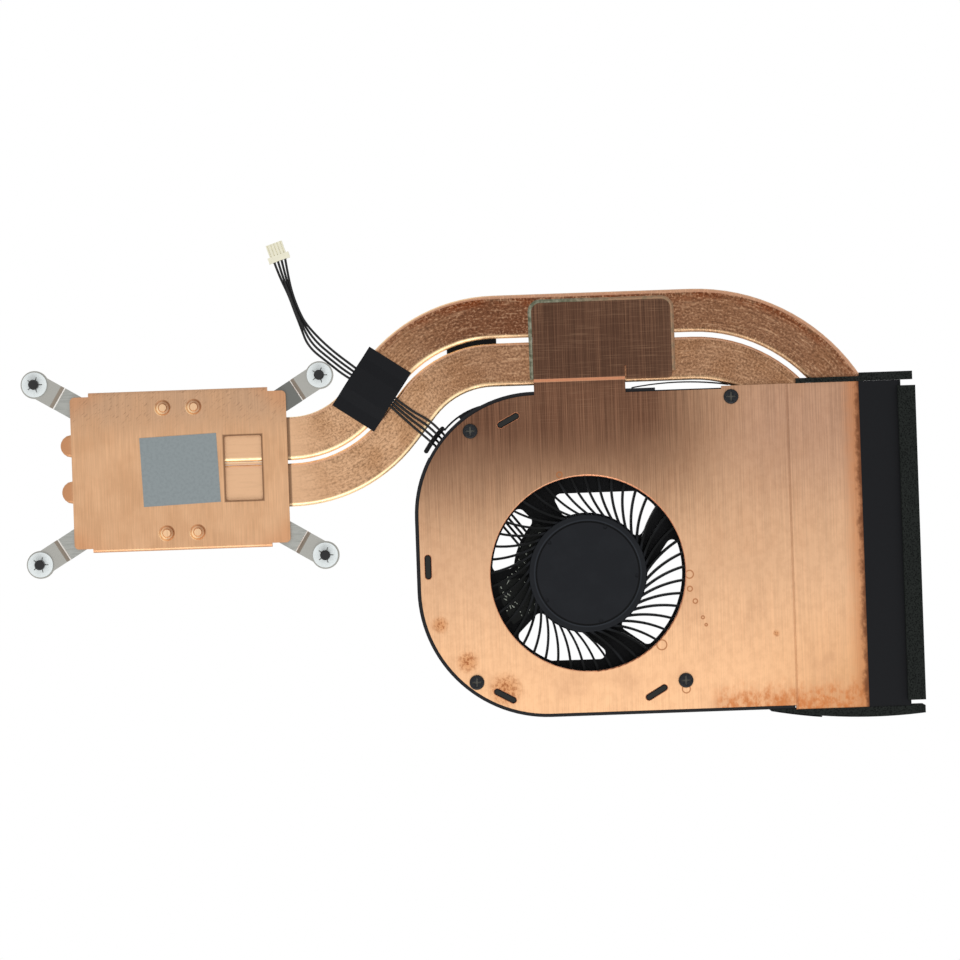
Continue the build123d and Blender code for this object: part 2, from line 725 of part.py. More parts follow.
with BuildPart() as fan_frame:
    with BuildSketch(Plane.XY.offset(floor_bottom)):
        with BuildLine():
            outer_arc = frame_outline(0, 0, frame_right)
            notch_x = fan_x + wall_step_from_fan
            Polyline(
                outer_arc @ 1,
                (notch_x, frame_top_y),
                (notch_x, frame_top_y - wall_step),
                (frame_right, frame_top_y - wall_step),
                (frame_right, frame_bottom_y),
            )
        make_face()
    extrude(amount=cover_bottom - floor_bottom)
    with BuildSketch(Plane.XY.offset(floor_top)):
        with BuildLine():
            scroll_outline()
        make_face()
    extrude(amount=cover_bottom - floor_top, mode=Mode.SUBTRACT)
    for in_a, in_b, out_a, out_b, in_r, out_r, flat in base_openings:
        with BuildSketch(Plane((fan_x, fan_y, floor_bottom))) as opening:
            with BuildLine():
                inner = CenterArc((0, 0), in_r, in_a, in_b - in_a)
                outer = CenterArc((0, 0), out_r, out_a, out_b - out_a)
                Line(inner @ 0, outer @ 0)
                Line(inner @ 1, outer @ 1)
            make_face()
            Rectangle(3 * intake_r, 2 * flat, mode=Mode.INTERSECT)
            opening_depth = min(flat, out_r) - in_r
            fillet(opening.vertices(), min(opening_corner_r, opening_corner_share * opening_depth))
        extrude(amount=floor_thickness, mode=Mode.SUBTRACT)
    # Pits beside the hub, screw posts, tabs through the cover, and the bearing post
    with BuildSketch(Plane.XY.offset(floor_top)):
        with Locations(*[at_fan(angle, hub_r + out) for angle, out in pit_marks]):
            Circle(pit_r)
    extrude(amount=-pit_depth, mode=Mode.SUBTRACT)
    with BuildSketch(Plane.XY.offset(floor_top)):
        with Locations(*screw_posts):
            Circle(post_r)
    extrude(amount=cover_bottom - floor_top)
    with BuildSketch(Plane.XY.offset(cover_bottom)):
        with Locations(*screw_posts):
            Circle(cover_screw_r + cover_screw_play)
    extrude(amount=-cover_screw_length, mode=Mode.SUBTRACT)
    with BuildSketch(Plane.XY.offset(cover_bottom)):
        for place, turn in tab_places:
            with Locations(Location((*place, 0), (0, 0, turn))):
                SlotOverall(tab_length, tab_width)
    extrude(amount=cover_sheet - tab_recess)
    with BuildSketch(Plane((fan_x, fan_y, floor_top))):
        Circle(holder_r)
        Circle(holder_in_r, mode=Mode.SUBTRACT)
    extrude(amount=holder_top - floor_top)
    # Lowered corner where the inner pipe bends over the wall
    notch_r = last_bend_r - pipe_width / 2 - pipe_notch_gap
    with BuildSketch(Plane((inner_end_x - last_bend_r, inner_run_y - last_bend_r, cover_bottom))):
        Rectangle(2 * last_bend_r, 2 * last_bend_r, align=Align.MIN)
        Circle(notch_r, mode=Mode.SUBTRACT)
    extrude(amount=pipe_bottom - pipe_notch_gap - cover_bottom, mode=Mode.SUBTRACT)
    # Wire channel, and a clip rail that springs from a shallow recess in the edge
    with BuildSketch(Plane.XY.offset(floor_bottom)):
        middle = channel_end + channel_run / 2
        with Locations(Location((middle.X, middle.Y, 0), (0, 0, channel_turn))):
            Rectangle(channel_run.length + 2 * clip_gap, channel_width)
    extrude(amount=channel_depth, mode=Mode.SUBTRACT)
    with BuildSketch(Plane((corner_x, corner_y, floor_bottom))):
        with BuildLine():
            recess_span = clip_end + clip_margin - clip_start
            recess_in = CenterArc((0, 0), clip_floor_r, clip_start, recess_span)
            recess_out = CenterArc((0, 0), upper_corner_r + clip_gap, clip_start, recess_span)
            Line(recess_in @ 0, recess_out @ 0)
            Line(recess_in @ 1, recess_out @ 1)
        make_face()
    extrude(amount=cover_bottom - floor_bottom, mode=Mode.SUBTRACT)
    with BuildSketch(Plane((corner_x, corner_y, floor_bottom))):
        with BuildLine():
            ThreePointArc(
                Vector(upper_corner_r - clip_rail / 2, 0).rotate(Axis.Z, clip_foot),
                Vector(rail_r, 0).rotate(Axis.Z, clip_start),
                Vector(rail_r, 0).rotate(Axis.Z, clip_rise),
            )
        trace(line_width=clip_rail)
        with BuildLine():
            Polyline(
                Vector(clip_floor_r, 0).rotate(Axis.Z, clip_foot),
                Vector(rail_r, 0).rotate(Axis.Z, clip_start),
                Vector(clip_floor_r - clip_rail, 0).rotate(Axis.Z, clip_start),
                close=True,
            )
        make_face()
        with BuildLine():
            lump = CenterArc((0, 0), lump_r, clip_rise, clip_end - clip_rise)
        trace(line_width=clip_lump)
        with Locations(lump @ 0, lump @ 1):
            Circle(clip_lump / 2)
    extrude(amount=clip_height)
fan_frame.part.label = "fan_frame"
export_step(fan_frame.part, "parts/fan_frame.step")

# Cover screws
with BuildPart() as cover_screws:
    with BuildSketch(Plane.XY.offset(cover_top)):
        with Locations(*screw_posts):
            Circle(cover_screw_head_r)
    extrude(amount=cover_screw_head)
    fillet(edges().filter_by(GeomType.CIRCLE).group_by(Axis.Z)[-1], 2 * cover_screw_head / 3)
    with BuildSketch(Plane.XY.offset(cover_top)):
        with Locations(*screw_posts):
            Circle(cover_screw_r)
    extrude(amount=cover_screw_head / 2 - cover_screw_length)
    with BuildSketch(Plane.XY.offset(cover_top + cover_screw_head)):
        with Locations(*screw_posts):
            Rectangle(cover_cross_length, cover_cross_width)
            Rectangle(cover_cross_width, cover_cross_length)
    extrude(amount=-cover_cross_depth, mode=Mode.SUBTRACT)
cover_screws.part.label = "cover_screws"
export_step(cover_screws.part, "parts/cover_screws.step")

# Impeller
with BuildPart() as impeller:
    with BuildSketch(Plane((fan_x, fan_y, blade_bottom))):
        Circle(hub_r)
    extrude(amount=hub_top - blade_bottom)
    fillet(edges().filter_by(GeomType.CIRCLE).group_by(Axis.Z)[-1], hub_cap / 3)
    with BuildSketch(Plane((fan_x, fan_y, blade_bottom))):
        Circle(hub_in_r)
        Circle(hub_boss_r, mode=Mode.SUBTRACT)
    extrude(amount=hub_under - blade_bottom, mode=Mode.SUBTRACT)
    with BuildSketch(Plane((fan_x, fan_y, blade_bottom))):
        Circle(hub_boss_r)
    extrude(amount=hub_boss_under - blade_bottom, mode=Mode.SUBTRACT)
    with BuildSketch(Plane((fan_x, fan_y, hub_boss_under))):
        Circle(shaft_r + press_play / 2)
    extrude(amount=hub_boss + hub_cap / 2, mode=Mode.SUBTRACT)
    with BuildSketch(Plane((fan_x, fan_y, hub_top))):
        Circle(hub_in_r + hub_groove_out)
        Circle(hub_in_r + hub_groove_out - hub_groove_width, mode=Mode.SUBTRACT)
        with PolarLocations(hub_in_r - hub_notch_r / 2, hub_notch_count, start_angle=hub_notch_turn):
            Circle(hub_notch_r)
    extrude(amount=-hub_groove_depth, mode=Mode.SUBTRACT)
    with BuildSketch(Plane((fan_x, fan_y, blade_bottom))):
        with BuildSketch(mode=Mode.PRIVATE) as blade:
            with BuildLine():
                bow = ThreePointArc(
                    Vector(hub_r - blade_thickness, 0).rotate(Axis.Z, blade_root_lean),
                    Vector(blade_bow_r, 0).rotate(Axis.Z, blade_bow_lean),
                    Vector(blade_elbow_r, 0).rotate(Axis.Z, blade_lean),
                )
                Line(bow @ 1, Vector(impeller_r, 0).rotate(Axis.Z, blade_lean))
            trace(line_width=blade_thickness)
        with PolarLocations(0, blade_count):
            add(blade.sketch)
    extrude(amount=blade_top - blade_bottom)
impeller.part.label = "impeller"
export_step(impeller.part, "parts/impeller.step")

# Turning parts of the motor
yoke_under = hub_under - yoke_wall
with BuildPart() as rotor_yoke:
    with BuildSketch(Plane((fan_x, fan_y, yoke_under))):
        Circle(yoke_r)
        Circle(hub_boss_r + press_play, mode=Mode.SUBTRACT)
    extrude(amount=yoke_wall)
    with BuildSketch(Plane((fan_x, fan_y, blade_bottom))):
        Circle(yoke_r)
        Circle(yoke_in_r, mode=Mode.SUBTRACT)
    extrude(amount=yoke_under - blade_bottom)
rotor_yoke.part.label = "rotor_yoke"
export_step(rotor_yoke.part, "parts/rotor_yoke.step")

with BuildPart() as rotor_magnet:
    with BuildSketch(Plane((fan_x, fan_y, blade_bottom))):
        Circle(magnet_in_r + magnet_wall)
        Circle(magnet_in_r, mode=Mode.SUBTRACT)
    extrude(amount=yoke_under - air_gap - blade_bottom)
rotor_magnet.part.label = "rotor_magnet"
export_step(rotor_magnet.part, "parts/rotor_magnet.step")

with BuildPart() as rotor_shaft:
    with BuildSketch(Plane((fan_x, fan_y, thrust_top + bearing_play / 2))):
        Circle(shaft_r)
    extrude(amount=hub_under + hub_cap / 2 - thrust_top - bearing_play / 2)
    chamfer(edges().filter_by(GeomType.CIRCLE).group_by(Axis.Z)[0], shaft_r / 5)
rotor_shaft.part.label = "rotor_shaft"
export_step(rotor_shaft.part, "parts/rotor_shaft.step")

# Still parts of the motor
with BuildPart() as thrust_washer:
    with BuildSketch(Plane((fan_x, fan_y, floor_top))):
        Circle(sleeve_r - press_play)
    extrude(amount=thrust_thickness)
thrust_washer.part.label = "thrust_washer"
export_step(thrust_washer.part, "parts/thrust_washer.step")

with BuildPart() as bearing_sleeve:
    with BuildSketch(Plane((fan_x, fan_y, thrust_top))):
        Circle(sleeve_r)
        Circle(sleeve_in_r, mode=Mode.SUBTRACT)
    extrude(amount=holder_top - thrust_top)
bearing_sleeve.part.label = "bearing_sleeve"
export_step(bearing_sleeve.part, "parts/bearing_sleeve.step")

core_r = core_in_r + core_ring
tooth_end = stator_r - shoe_depth
with BuildPart() as stator_core:
    with BuildSketch(Plane((fan_x, fan_y, stator_bottom))):
        Circle(stator_r)
        Circle(tooth_end, mode=Mode.SUBTRACT)
        with PolarLocations(stator_r, pole_count, start_angle=180 / pole_count):
            Rectangle(3 * shoe_depth, pole_slot, mode=Mode.SUBTRACT)
        Circle(core_r)
        with PolarLocations((core_in_r + stator_r) / 2, pole_count):
            Rectangle(stator_r - core_in_r - shoe_depth, pole_width)
        Circle(core_in_r, mode=Mode.SUBTRACT)
    extrude(amount=stator_height)
stator_core.part.label = "stator_core"
export_step(stator_core.part, "parts/stator_core.step")

coil_length = tooth_end - core_r - 2 * coil_end_gap
with BuildPart() as stator_coils:
    with BuildSketch(Plane((fan_x, fan_y, stator_bottom - coil_rise))):
        with PolarLocations((core_r + tooth_end) / 2, pole_count):
            RectangleRounded(coil_length, pole_width + 2 * coil_build, coil_build / 2)
    extrude(amount=stator_height + 2 * coil_rise)
    with BuildSketch(Plane((fan_x, fan_y, stator_bottom - press_play))):
        with PolarLocations((core_r + tooth_end) / 2, pole_count):
            Rectangle(2 * coil_length, pole_width + 2 * press_play)
    extrude(amount=stator_height + 2 * press_play, mode=Mode.SUBTRACT)
stator_coils.part.label = "stator_coils"
export_step(stator_coils.part, "parts/stator_coils.step")

# Circuit board: a ring under the hub and two tabs, each a middle angle, a spread, a reach and its chips
with BuildPart() as motor_board:
    with BuildSketch(Plane((fan_x, fan_y, floor_top))):
        for angle, spread, reach, chip_spread, chip_count in board_tabs:
            with BuildLine():
                tab_start = angle - spread / 2
                tab_in = CenterArc((0, 0), magnet_in_r, tab_start, spread)
                tab_out = CenterArc(
                    (0, 0), hub_r + reach, tab_start + board_tab_taper / 2, spread - board_tab_taper
                )
                Line(tab_in @ 0, tab_out @ 0)
                Line(tab_in @ 1, tab_out @ 1)
            make_face()
        Circle(hub_in_r)
        Circle(holder_r + board_play, mode=Mode.SUBTRACT)
    extrude(amount=board_thickness)
    with BuildSketch(Plane((fan_x, fan_y, board_top))):
        for angle, spread, reach, chip_spread, chip_count in board_tabs:
            first_chip = angle - chip_spread / 2
            with PolarLocations(hub_r + reach / 2, chip_count, first_chip, chip_spread, endpoint=True):
                Rectangle(chip_length, chip_width)
    extrude(amount=chip_height)
motor_board.part.label = "motor_board"
export_step(motor_board.part, "parts/motor_board.step")

# Fins: one folded comb under the pipes
fin_top = pipe_bottom
fin_count = int((fin_top_y - fin_bottom_y) / fin_pitch)
fin_mid_y = (fin_top_y + fin_bottom_y) / 2
with BuildPart() as fin_stack:
    with BuildSketch(Plane.YZ.offset(fin_start_x)):
        with Locations((fin_mid_y, (fin_top + floor_bottom) / 2)):
            Rectangle(fin_top_y - fin_bottom_y, fin_top - floor_bottom)
            with GridLocations(fin_pitch, 0, fin_count, 1):
                Rectangle(
                    fin_pitch - fin_sheet, fin_top - floor_bottom - 2 * fin_sheet, mode=Mode.SUBTRACT
                )
    extrude(amount=fin_end_x - fin_start_x)
fin_stack.part.label = "fin_stack"
export_step(fin_stack.part, "parts/fin_stack.step")

# Film and foam round the outlet
film_top = ear_top + film_thickness
with BuildPart() as outlet_film:
    with BuildSketch(Plane((fin_end_x - film_width / 2, fin_mid_y, ear_top))):
        Rectangle(film_width, cover_high_y - cover_low_y)
    extrude(amount=film_thickness)
outlet_film.part.label = "outlet_film"
export_step(outlet_film.part, "parts/outlet_film.step")

foam_left = fin_end_x - foam_lap
foam_right = foam_left + foam_width
foam_high_y = fin_top_y - foam_end_inset
foam_low_y = fin_bottom_y + foam_end_inset
with BuildPart() as outlet_foam:
    with BuildSketch(Plane.XZ.offset(-foam_high_y)):
        with BuildLine():
            Polyline(
                (foam_left, film_top),
                (fin_end_x + outlet_seam, film_top),
                (fin_end_x + outlet_seam, pipe_top),
                (foam_right, pipe_top),
                (foam_right, film_top + foam_thickness),
                (foam_left, film_top + foam_thickness),
                close=True,
            )
        make_face()
    extrude(amount=foam_high_y - foam_low_y)
outlet_foam.part.label = "outlet_foam"
export_step(outlet_foam.part, "parts/outlet_foam.step")

end_foam_top = film_top + end_foam_rise
strip_left = inner_end_x - strip_lead
strip_right = outer_end_x - strip_setback
strip_low_y = cover_high_y + foam_seam
with BuildPart() as upper_end_foam:
    # A narrow strip beside the cover, then a wider block to the outlet's corner
    with BuildSketch(Plane.XY.offset(pipe_top)):
        with Locations((strip_left, strip_low_y)):
            Rectangle(strip_right - strip_left, strip_width, align=Align.MIN)
        with Locations((strip_right, strip_low_y)):
            Rectangle(fin_end_x + end_foam_reach - strip_right, end_foam_width, align=Align.MIN)
    extrude(amount=end_foam_top - pipe_top)
upper_end_foam.part.label = "upper_end_foam"
export_step(upper_end_foam.part, "parts/upper_end_foam.step")

film_low = floor_bottom + film_thickness
foam_edge_y = cover_low_y - foam_seam
foam_wall_y = frame_bottom_y - foam_seam
foam_start_x = fin_start_x - lower_foam_lead
with BuildPart() as lower_end_foam:
    with BuildSketch(Plane.XY.offset(film_low)):
        with BuildLine():
            foam_bow = ThreePointArc(
                (foam_start_x, foam_wall_y - lower_foam_start),
                ((foam_start_x + foam_right) / 2, foam_edge_y - lower_foam_bow),
                (foam_right, foam_edge_y - lower_foam_end),
            )
            Polyline(
                foam_bow @ 1,
                (foam_right, foam_edge_y),
                (frame_right, foam_edge_y),
                (frame_right, foam_wall_y),
                (foam_start_x, foam_wall_y),
                foam_bow @ 0,
            )
        make_face()
    extrude(amount=end_foam_top - film_low)
lower_end_foam.part.label = "lower_end_foam"
export_step(lower_end_foam.part, "parts/lower_end_foam.step")

film_offset = film_gap + side_film_thickness / 2
film_start_x = fan_x + upper_film_from_fan
with BuildPart() as upper_side_film:
    with BuildSketch(Plane.XY.offset(film_low)):
        with BuildLine():
            film_y = frame_top_y + film_offset
            ThreePointArc(
                (film_start_x, film_y),
                (film_start_x + upper_film_length / 2, film_y + upper_film_bow),
                (film_start_x + upper_film_length, film_y),
            )
        trace(line_width=side_film_thickness)
    extrude(amount=pipe_bottom - film_thickness - film_low)
upper_side_film.part.label = "upper_side_film"
export_step(upper_side_film.part, "parts/upper_side_film.step")

with BuildPart() as lower_side_film:
    with BuildSketch(Plane.XY.offset(film_low)):
        with BuildLine():
            film_shares = (0, lower_film_share / 2, lower_film_share)
            ThreePointArc(*[foam_bow @ share - Vector(0, film_offset) for share in film_shares])
        trace(line_width=side_film_thickness)
    extrude(amount=pipe_top - film_low)
lower_side_film.part.label = "lower_side_film"
export_step(lower_side_film.part, "parts/lower_side_film.step")

# Tapes
mid_rise = (inner_run_y + outer_run_y) / 2 - pipe_pair_y
climb_x = (
    bend_start_x
    + (first_bend_r - plate_spacing / 2) * half_turn
    + mid_rise / 2 / tan(radians(pipe_slope))
)
climb_y = pipe_pair_y + mid_rise / 2
wire_top_z = pipe_top + wire_clearance + 2 * wire_r
lane_room = (wire_count + 1) * wire_lane / 2
tape_centre = Vector(climb_x + tape_shift_x, climb_y + tape_shift_y, 0)
tape_turn = pipe_slope + tape_skew
with BuildPart() as wire_tape:
    along = Vector(1, 0, 0).rotate(Axis.Z, tape_turn)
    with BuildSketch(Plane(tape_centre, x_dir=along, z_dir=along.cross(Vector(0, 0, 1)))):
        with BuildLine():
            rise = wire_top_z + wire_clearance / 2
            under = [
                (-tape_length / 2, pipe_top),
                (-lane_room - tape_slope, pipe_top),
                (-lane_room, rise),
                (lane_room, rise),
                (lane_room + tape_slope, pipe_top),
                (tape_length / 2, pipe_top),
            ]
            Polyline(*under, *[(u, z + tape_thickness) for u, z in reversed(under)], close=True)
        make_face()
    extrude(amount=tape_width / 2, both=True)
wire_tape.part.label = "wire_tape"
export_step(wire_tape.part, "parts/wire_tape.step")

with BuildPart() as rear_pipe_tape:
    rear_centre = (bend_end_x - rear_tape_setback, (inner_run_y + outer_run_y) / 2, pipe_bottom)
    with BuildSketch(Plane(rear_centre)):
        Rectangle(rear_tape_length, rear_tape_width)
    extrude(amount=-tape_thickness)
rear_pipe_tape.part.label = "rear_pipe_tape"
export_step(rear_pipe_tape.part, "parts/rear_pipe_tape.step")

# Wires in the channel behind the frame
lead_z = floor_bottom + channel_depth / 2
with BuildPart() as motor_leads:
    for number in range(wire_count):
        inner_end = channel_end + channel_side * (number - (wire_count - 1) / 2) * wire_lane
        outer_end = Vector(*clip_lane(number))
        start = Vector(inner_end.X, inner_end.Y, lead_z)
        run = Vector(outer_end.X, outer_end.Y, lead_z) - start
        with BuildSketch(Plane(start, z_dir=run)):
            Circle(wire_r)
        extrude(amount=run.length)
motor_leads.part.label = "motor_leads"
export_step(motor_leads.part, "parts/motor_leads.step")

# Free wires: stations from the pipes' climb, each with a height, a lane step and a stacking step
wire_z = pipe_top + wire_clearance + wire_r
ground_z = floor_bottom + wire_r + press_play
hole_z = floor_bottom + connector_height / 2
stack = 2 * wire_r + wire_stack_gap
plug_step = Vector(-contact_pitch, 0, 0).rotate(Axis.Z, connector_turn)
wire_stations = [
    (6.64, -5.30, wire_z, -0.62, -0.83, 0),
    (3.5, -3.05, wire_z, -0.37, -0.64, 0),
    (-2.15, 2.12, wire_z, -0.26, -0.48, 0),
    (-8.45, 6.53, wire_z, -0.40, -0.77, 0),
    (-11.65, 9.20, wire_z - 1.35, -0.33, -0.77, 0),
    (-15.30, 12.45, ground_z + 1.65, -0.73, -0.57, 0),
    (-17.40, 16.26, ground_z, -0.34, -0.17, stack),
    (-18.50, 18.95, ground_z, -0.27, -0.10, stack),
    (-19.70, 22.56, ground_z, -0.26, -0.08, stack),
    (-20.90, 26.28, ground_z, -0.56, -0.16, 0),
    (-21.65, 29.65, hole_z, plug_step.X, plug_step.Y, 0),
]
bend_share = 0.45


def wire_route(number):
    """Corner points of one wire, from the clip's slot to its hole in the connector."""
    lane = number - (wire_count - 1) / 2
    slot_x, slot_y = clip_lane(number)
    points = [Vector(slot_x, slot_y, lead_z + wire_r + press_play), Vector(slot_x, slot_y, wire_z)]
    for x, y, z, lane_x, lane_y, lift in wire_stations:
        raised = lift if number % 2 == 0 else 0
        points.append(Vector(climb_x + x + lane * lane_x, climb_y + y + lane * lane_y, z + raised))
    return points


def bend_radius(before, corner, after):
    """Largest radius that takes less than half of the shorter run at a corner."""
    turn = (corner - before).get_angle(after - corner)
    return bend_share * min((corner - before).length, (after - corner).length) / tan(radians(turn / 2))


for number in range(wire_count):
    points = wire_route(number)
    wire_radii = [bend_radius(*points[i - 1 : i + 2]) for i in range(1, len(points) - 1)]
    with BuildPart() as fan_wire:
        with BuildLine() as wire_path:
            FilletPolyline(*points, radius=wire_radii)
        with BuildSketch(Plane(points[0], z_dir=points[1] - points[0])):
            Circle(wire_r)
        sweep(path=wire_path.line)
    fan_wire.part.label = f"fan_wire_{number + 1}"
    export_step(fan_wire.part, f"parts/fan_wire_{number + 1}.step")
    wire_length = sum(edge.length for edge in wire_path.edges())
    swept = fan_wire.part.volume / (pi * wire_r**2 * wire_length)
    print(f"wire {number + 1} length {wire_length:.1f} volume ratio {swept:.3f}")
    print("bend radii", [round(r, 2) for r in wire_radii])

# Connector lying on the ground, its holes towards the wires
plug = wire_route(0)[-1] + wire_route(wire_count - 1)[-1]
plug_plane = Plane((plug.X / 2, plug.Y / 2, floor_bottom)).rotated((0, 0, connector_turn))
wire_end_y = -wire_hole_depth / 2
front_y = wire_end_y + connector_length
with BuildPart() as wire_connector:
    with BuildSketch(plug_plane):
        with Locations((0, (wire_end_y + front_y) / 2)):
            Rectangle(connector_width, connector_length)
        with Locations((0, wire_end_y + connector_ear_length / 2)):
            Rectangle(connector_width + 2 * connector_ear, connector_ear_length)
    extrude(amount=connector_height)
    with BuildSketch(plug_plane.offset(connector_height)):
        with Locations((0, wire_end_y + connector_ear_length + connector_length / 2)):
            with GridLocations(connector_width / rib_count, 0, rib_count, 1):
                Rectangle(rib_groove, connector_length)
    extrude(amount=-rib_depth, mode=Mode.SUBTRACT)
    hole_level = plug_plane.offset(connector_height / 2)
    back_face = Plane(hole_level.from_local_coords((0, wire_end_y, 0)), hole_level.x_dir, hole_level.y_dir)
    with BuildSketch(back_face):
        with GridLocations(contact_pitch, 0, wire_count, 1):
            Circle(wire_hole_r)
    extrude(amount=wire_hole_depth, mode=Mode.SUBTRACT)
    with BuildSketch(back_face.offset(connector_length)):
        with GridLocations(contact_pitch, 0, wire_count, 1):
            Rectangle(cavity_width, cavity_height)
    extrude(amount=-cavity_length, mode=Mode.SUBTRACT)
wire_connector.part.label = "wire_connector"
export_step(wire_connector.part, "parts/wire_connector.step")

with BuildPart() as connector_contacts:
    with BuildSketch(back_face.offset(connector_length - cavity_length)):
        with Locations((0, (cavity_height - contact_thickness) / 2)):
            with GridLocations(contact_pitch, 0, wire_count, 1):
                Rectangle(contact_width, contact_thickness)
    extrude(amount=contact_length)
connector_contacts.part.label = "connector_contacts"
export_step(connector_contacts.part, "parts/connector_contacts.step")
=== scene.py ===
"""Laptop cooling fan heatsink, lying on a pale table and seen straight down."""
import json
from math import cos, radians, sin

import bmesh
import bpy
from mathutils import Matrix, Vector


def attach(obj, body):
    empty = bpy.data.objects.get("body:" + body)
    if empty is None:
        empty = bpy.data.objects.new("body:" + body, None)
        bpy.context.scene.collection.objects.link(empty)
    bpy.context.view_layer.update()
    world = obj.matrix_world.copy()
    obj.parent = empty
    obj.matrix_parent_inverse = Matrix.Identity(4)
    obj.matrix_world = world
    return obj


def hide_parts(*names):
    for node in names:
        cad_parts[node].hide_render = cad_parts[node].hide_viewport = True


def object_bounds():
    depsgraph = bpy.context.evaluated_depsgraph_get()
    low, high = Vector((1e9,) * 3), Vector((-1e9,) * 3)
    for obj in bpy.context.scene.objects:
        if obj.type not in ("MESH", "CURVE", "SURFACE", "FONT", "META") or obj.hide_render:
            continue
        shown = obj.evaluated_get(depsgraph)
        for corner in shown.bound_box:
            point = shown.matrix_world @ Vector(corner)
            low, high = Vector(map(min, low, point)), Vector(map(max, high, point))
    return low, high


MM = 0.001

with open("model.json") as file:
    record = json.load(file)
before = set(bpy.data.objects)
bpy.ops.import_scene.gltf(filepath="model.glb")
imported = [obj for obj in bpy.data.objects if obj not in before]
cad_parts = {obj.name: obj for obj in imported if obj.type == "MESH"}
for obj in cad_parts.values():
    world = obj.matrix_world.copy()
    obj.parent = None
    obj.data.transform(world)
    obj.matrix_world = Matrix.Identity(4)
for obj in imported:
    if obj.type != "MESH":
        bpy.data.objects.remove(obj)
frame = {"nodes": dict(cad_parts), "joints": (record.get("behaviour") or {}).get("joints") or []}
piece = frame["nodes"]
box_at_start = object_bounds()

# Sizes and places of the part, in millimetres; the fan's centre and back come from the frame
rotor_spin = next(joint for joint in frame["joints"] if joint["name"] == "rotor_spin")
FAN_CENTRE = tuple(value / MM for value in rotor_spin["pos_m"][:2])
BACK_OF_FAN = box_at_start[0].z / MM
WIRE_DIAMETER = 0.5
WIRE_ROUTES = {
    "fan_wire_1": [
        (52.83, 5.44, -5.63), (52.83, 5.44, -0.55), (50.23, 8.20, -0.55), (46.71, 10.16, -0.55),
        (40.90, 15.09, -0.55), (34.81, 19.94, -0.55), (31.50, 22.61, -1.90), (28.45, 25.56, -4.28),
        (25.77, 28.77, -5.38), (24.56, 31.35, -5.38), (23.35, 34.93, -5.38), (22.60, 38.77, -5.93),
        (22.15, 42.27, -5.40),
    ],
    "fan_wire_2": [
        (52.21, 4.72, -5.63), (52.21, 4.72, -0.55), (49.61, 7.37, -0.55), (46.34, 9.52, -0.55),
        (40.64, 14.61, -0.55), (34.41, 19.17, -0.55), (31.17, 21.84, -1.90), (27.72, 24.99, -4.28),
        (25.43, 28.60, -5.93), (24.29, 31.25, -5.93), (23.09, 34.85, -5.93), (22.04, 38.61, -5.93),
        (21.39, 42.02, -5.40),
    ],
    "fan_wire_3": [
        (51.61, 3.99, -5.63), (51.61, 3.99, -0.55), (48.99, 6.54, -0.55), (45.97, 8.88, -0.55),
        (40.38, 14.13, -0.55), (34.01, 18.39, -0.55), (30.84, 21.07, -1.90), (26.99, 24.42, -4.28),
        (25.09, 28.43, -5.38), (24.02, 31.15, -5.38), (22.83, 34.77, -5.38), (21.48, 38.45, -5.93),
        (20.63, 41.78, -5.40),
    ],
    "fan_wire_4": [
        (51.03, 3.23, -5.63), (51.03, 3.23, -0.55), (48.37, 5.71, -0.55), (45.60, 8.24, -0.55),
        (40.12, 13.65, -0.55), (33.61, 17.62, -0.55), (30.51, 20.30, -1.90), (26.26, 23.85, -4.28),
        (24.75, 28.26, -5.93), (23.75, 31.05, -5.93), (22.57, 34.69, -5.93), (20.92, 38.29, -5.93),
        (19.87, 41.53, -5.40),
    ],
}
# Course of the pipes: pivot, heading in degrees, turn, middle radius, length so far, distance across
PIPE_COURSE = (
    ((22.50, 23.825), 0, 0, 0.0, 0.0, 0.0),
    ((22.50, 23.825), 0, 1, 23.0, 0.0, 0.0),
    ((22.50, 23.825), 51, 0, 0.0, 20.47, 0.0),
    ((63.30, -0.375), 51, -1, 23.6, 27.34, 46.94),
    ((63.30, -0.375), 0, 0, 0.0, 48.35, 46.94),
    ((103.27, -6.825), 0, -1, 30.0, 88.32, 53.39),
)
OUTER_PIPE_ACROSS = 18.2
INNER_PIPE_ACROSS = 27.65
# Gap between the pipes, counted across them: its outer and inner side
PIPE_GAP = (21.5, 24.0)
# Edges of the two pipes that carry painted highlights, counted across them
UPPER_PIPE_EDGES = ((13.9, 14.4), (23.3, 23.8))
LOWER_PIPE_EDGES = ((22.0, 22.6), (31.4, 32.1))
# Length of pipe over which the crinkles of bending begin
BENDING = (-3.0, 12.0)
# Cover: Y where the brown of the soldering heat begins and is full, and where the ear is darkest
COVER_HEAT = (-22.3, 8.2)
EAR_DARK = (13.5, 16.5)
# Fold of the ear: its Y from below, and the X of its neck
EAR_FOLD = (15.05, 15.6)
EAR_NECK = (71.0, 89.6)
# Oxide on the cover: Y inward from the lower edge, X along it, and X towards the outlet film of its stain
# and painted shadow
OXIDE_DEPTH = (-45.8, -50.8)
OXIDE_RUN = (107.0, 134.8)
FILM_STAIN = (131.8, 135.8)
FILM_SHADOW = (134.9, 136.2)
# X of the step in the cover beside the fins
COVER_STEP = (112.0, 114.0)
# Dried drops on the cover: X, Y and diameter
DRIED_DROPS = (
    (101.1, -24.4, 1.7), (101.1, -27.3, 1.1), (102.1, -29.8, 1.0), (103.5, -33.1, 0.7),
    (104.1, -34.6, 0.6), (95.1, -38.3, 2.1), (99.7, -47.3, 1.7), (75.8, -3.6, 1.2),
)
# Oxide smears on the cover: X, Y and radius
OXIDE_SMEARS = ((63.6, -46.2, 4.2), (50.9, -32.8, 2.2), (56.2, -40.4, 2.8), (118.1, -36.8, 0.9))
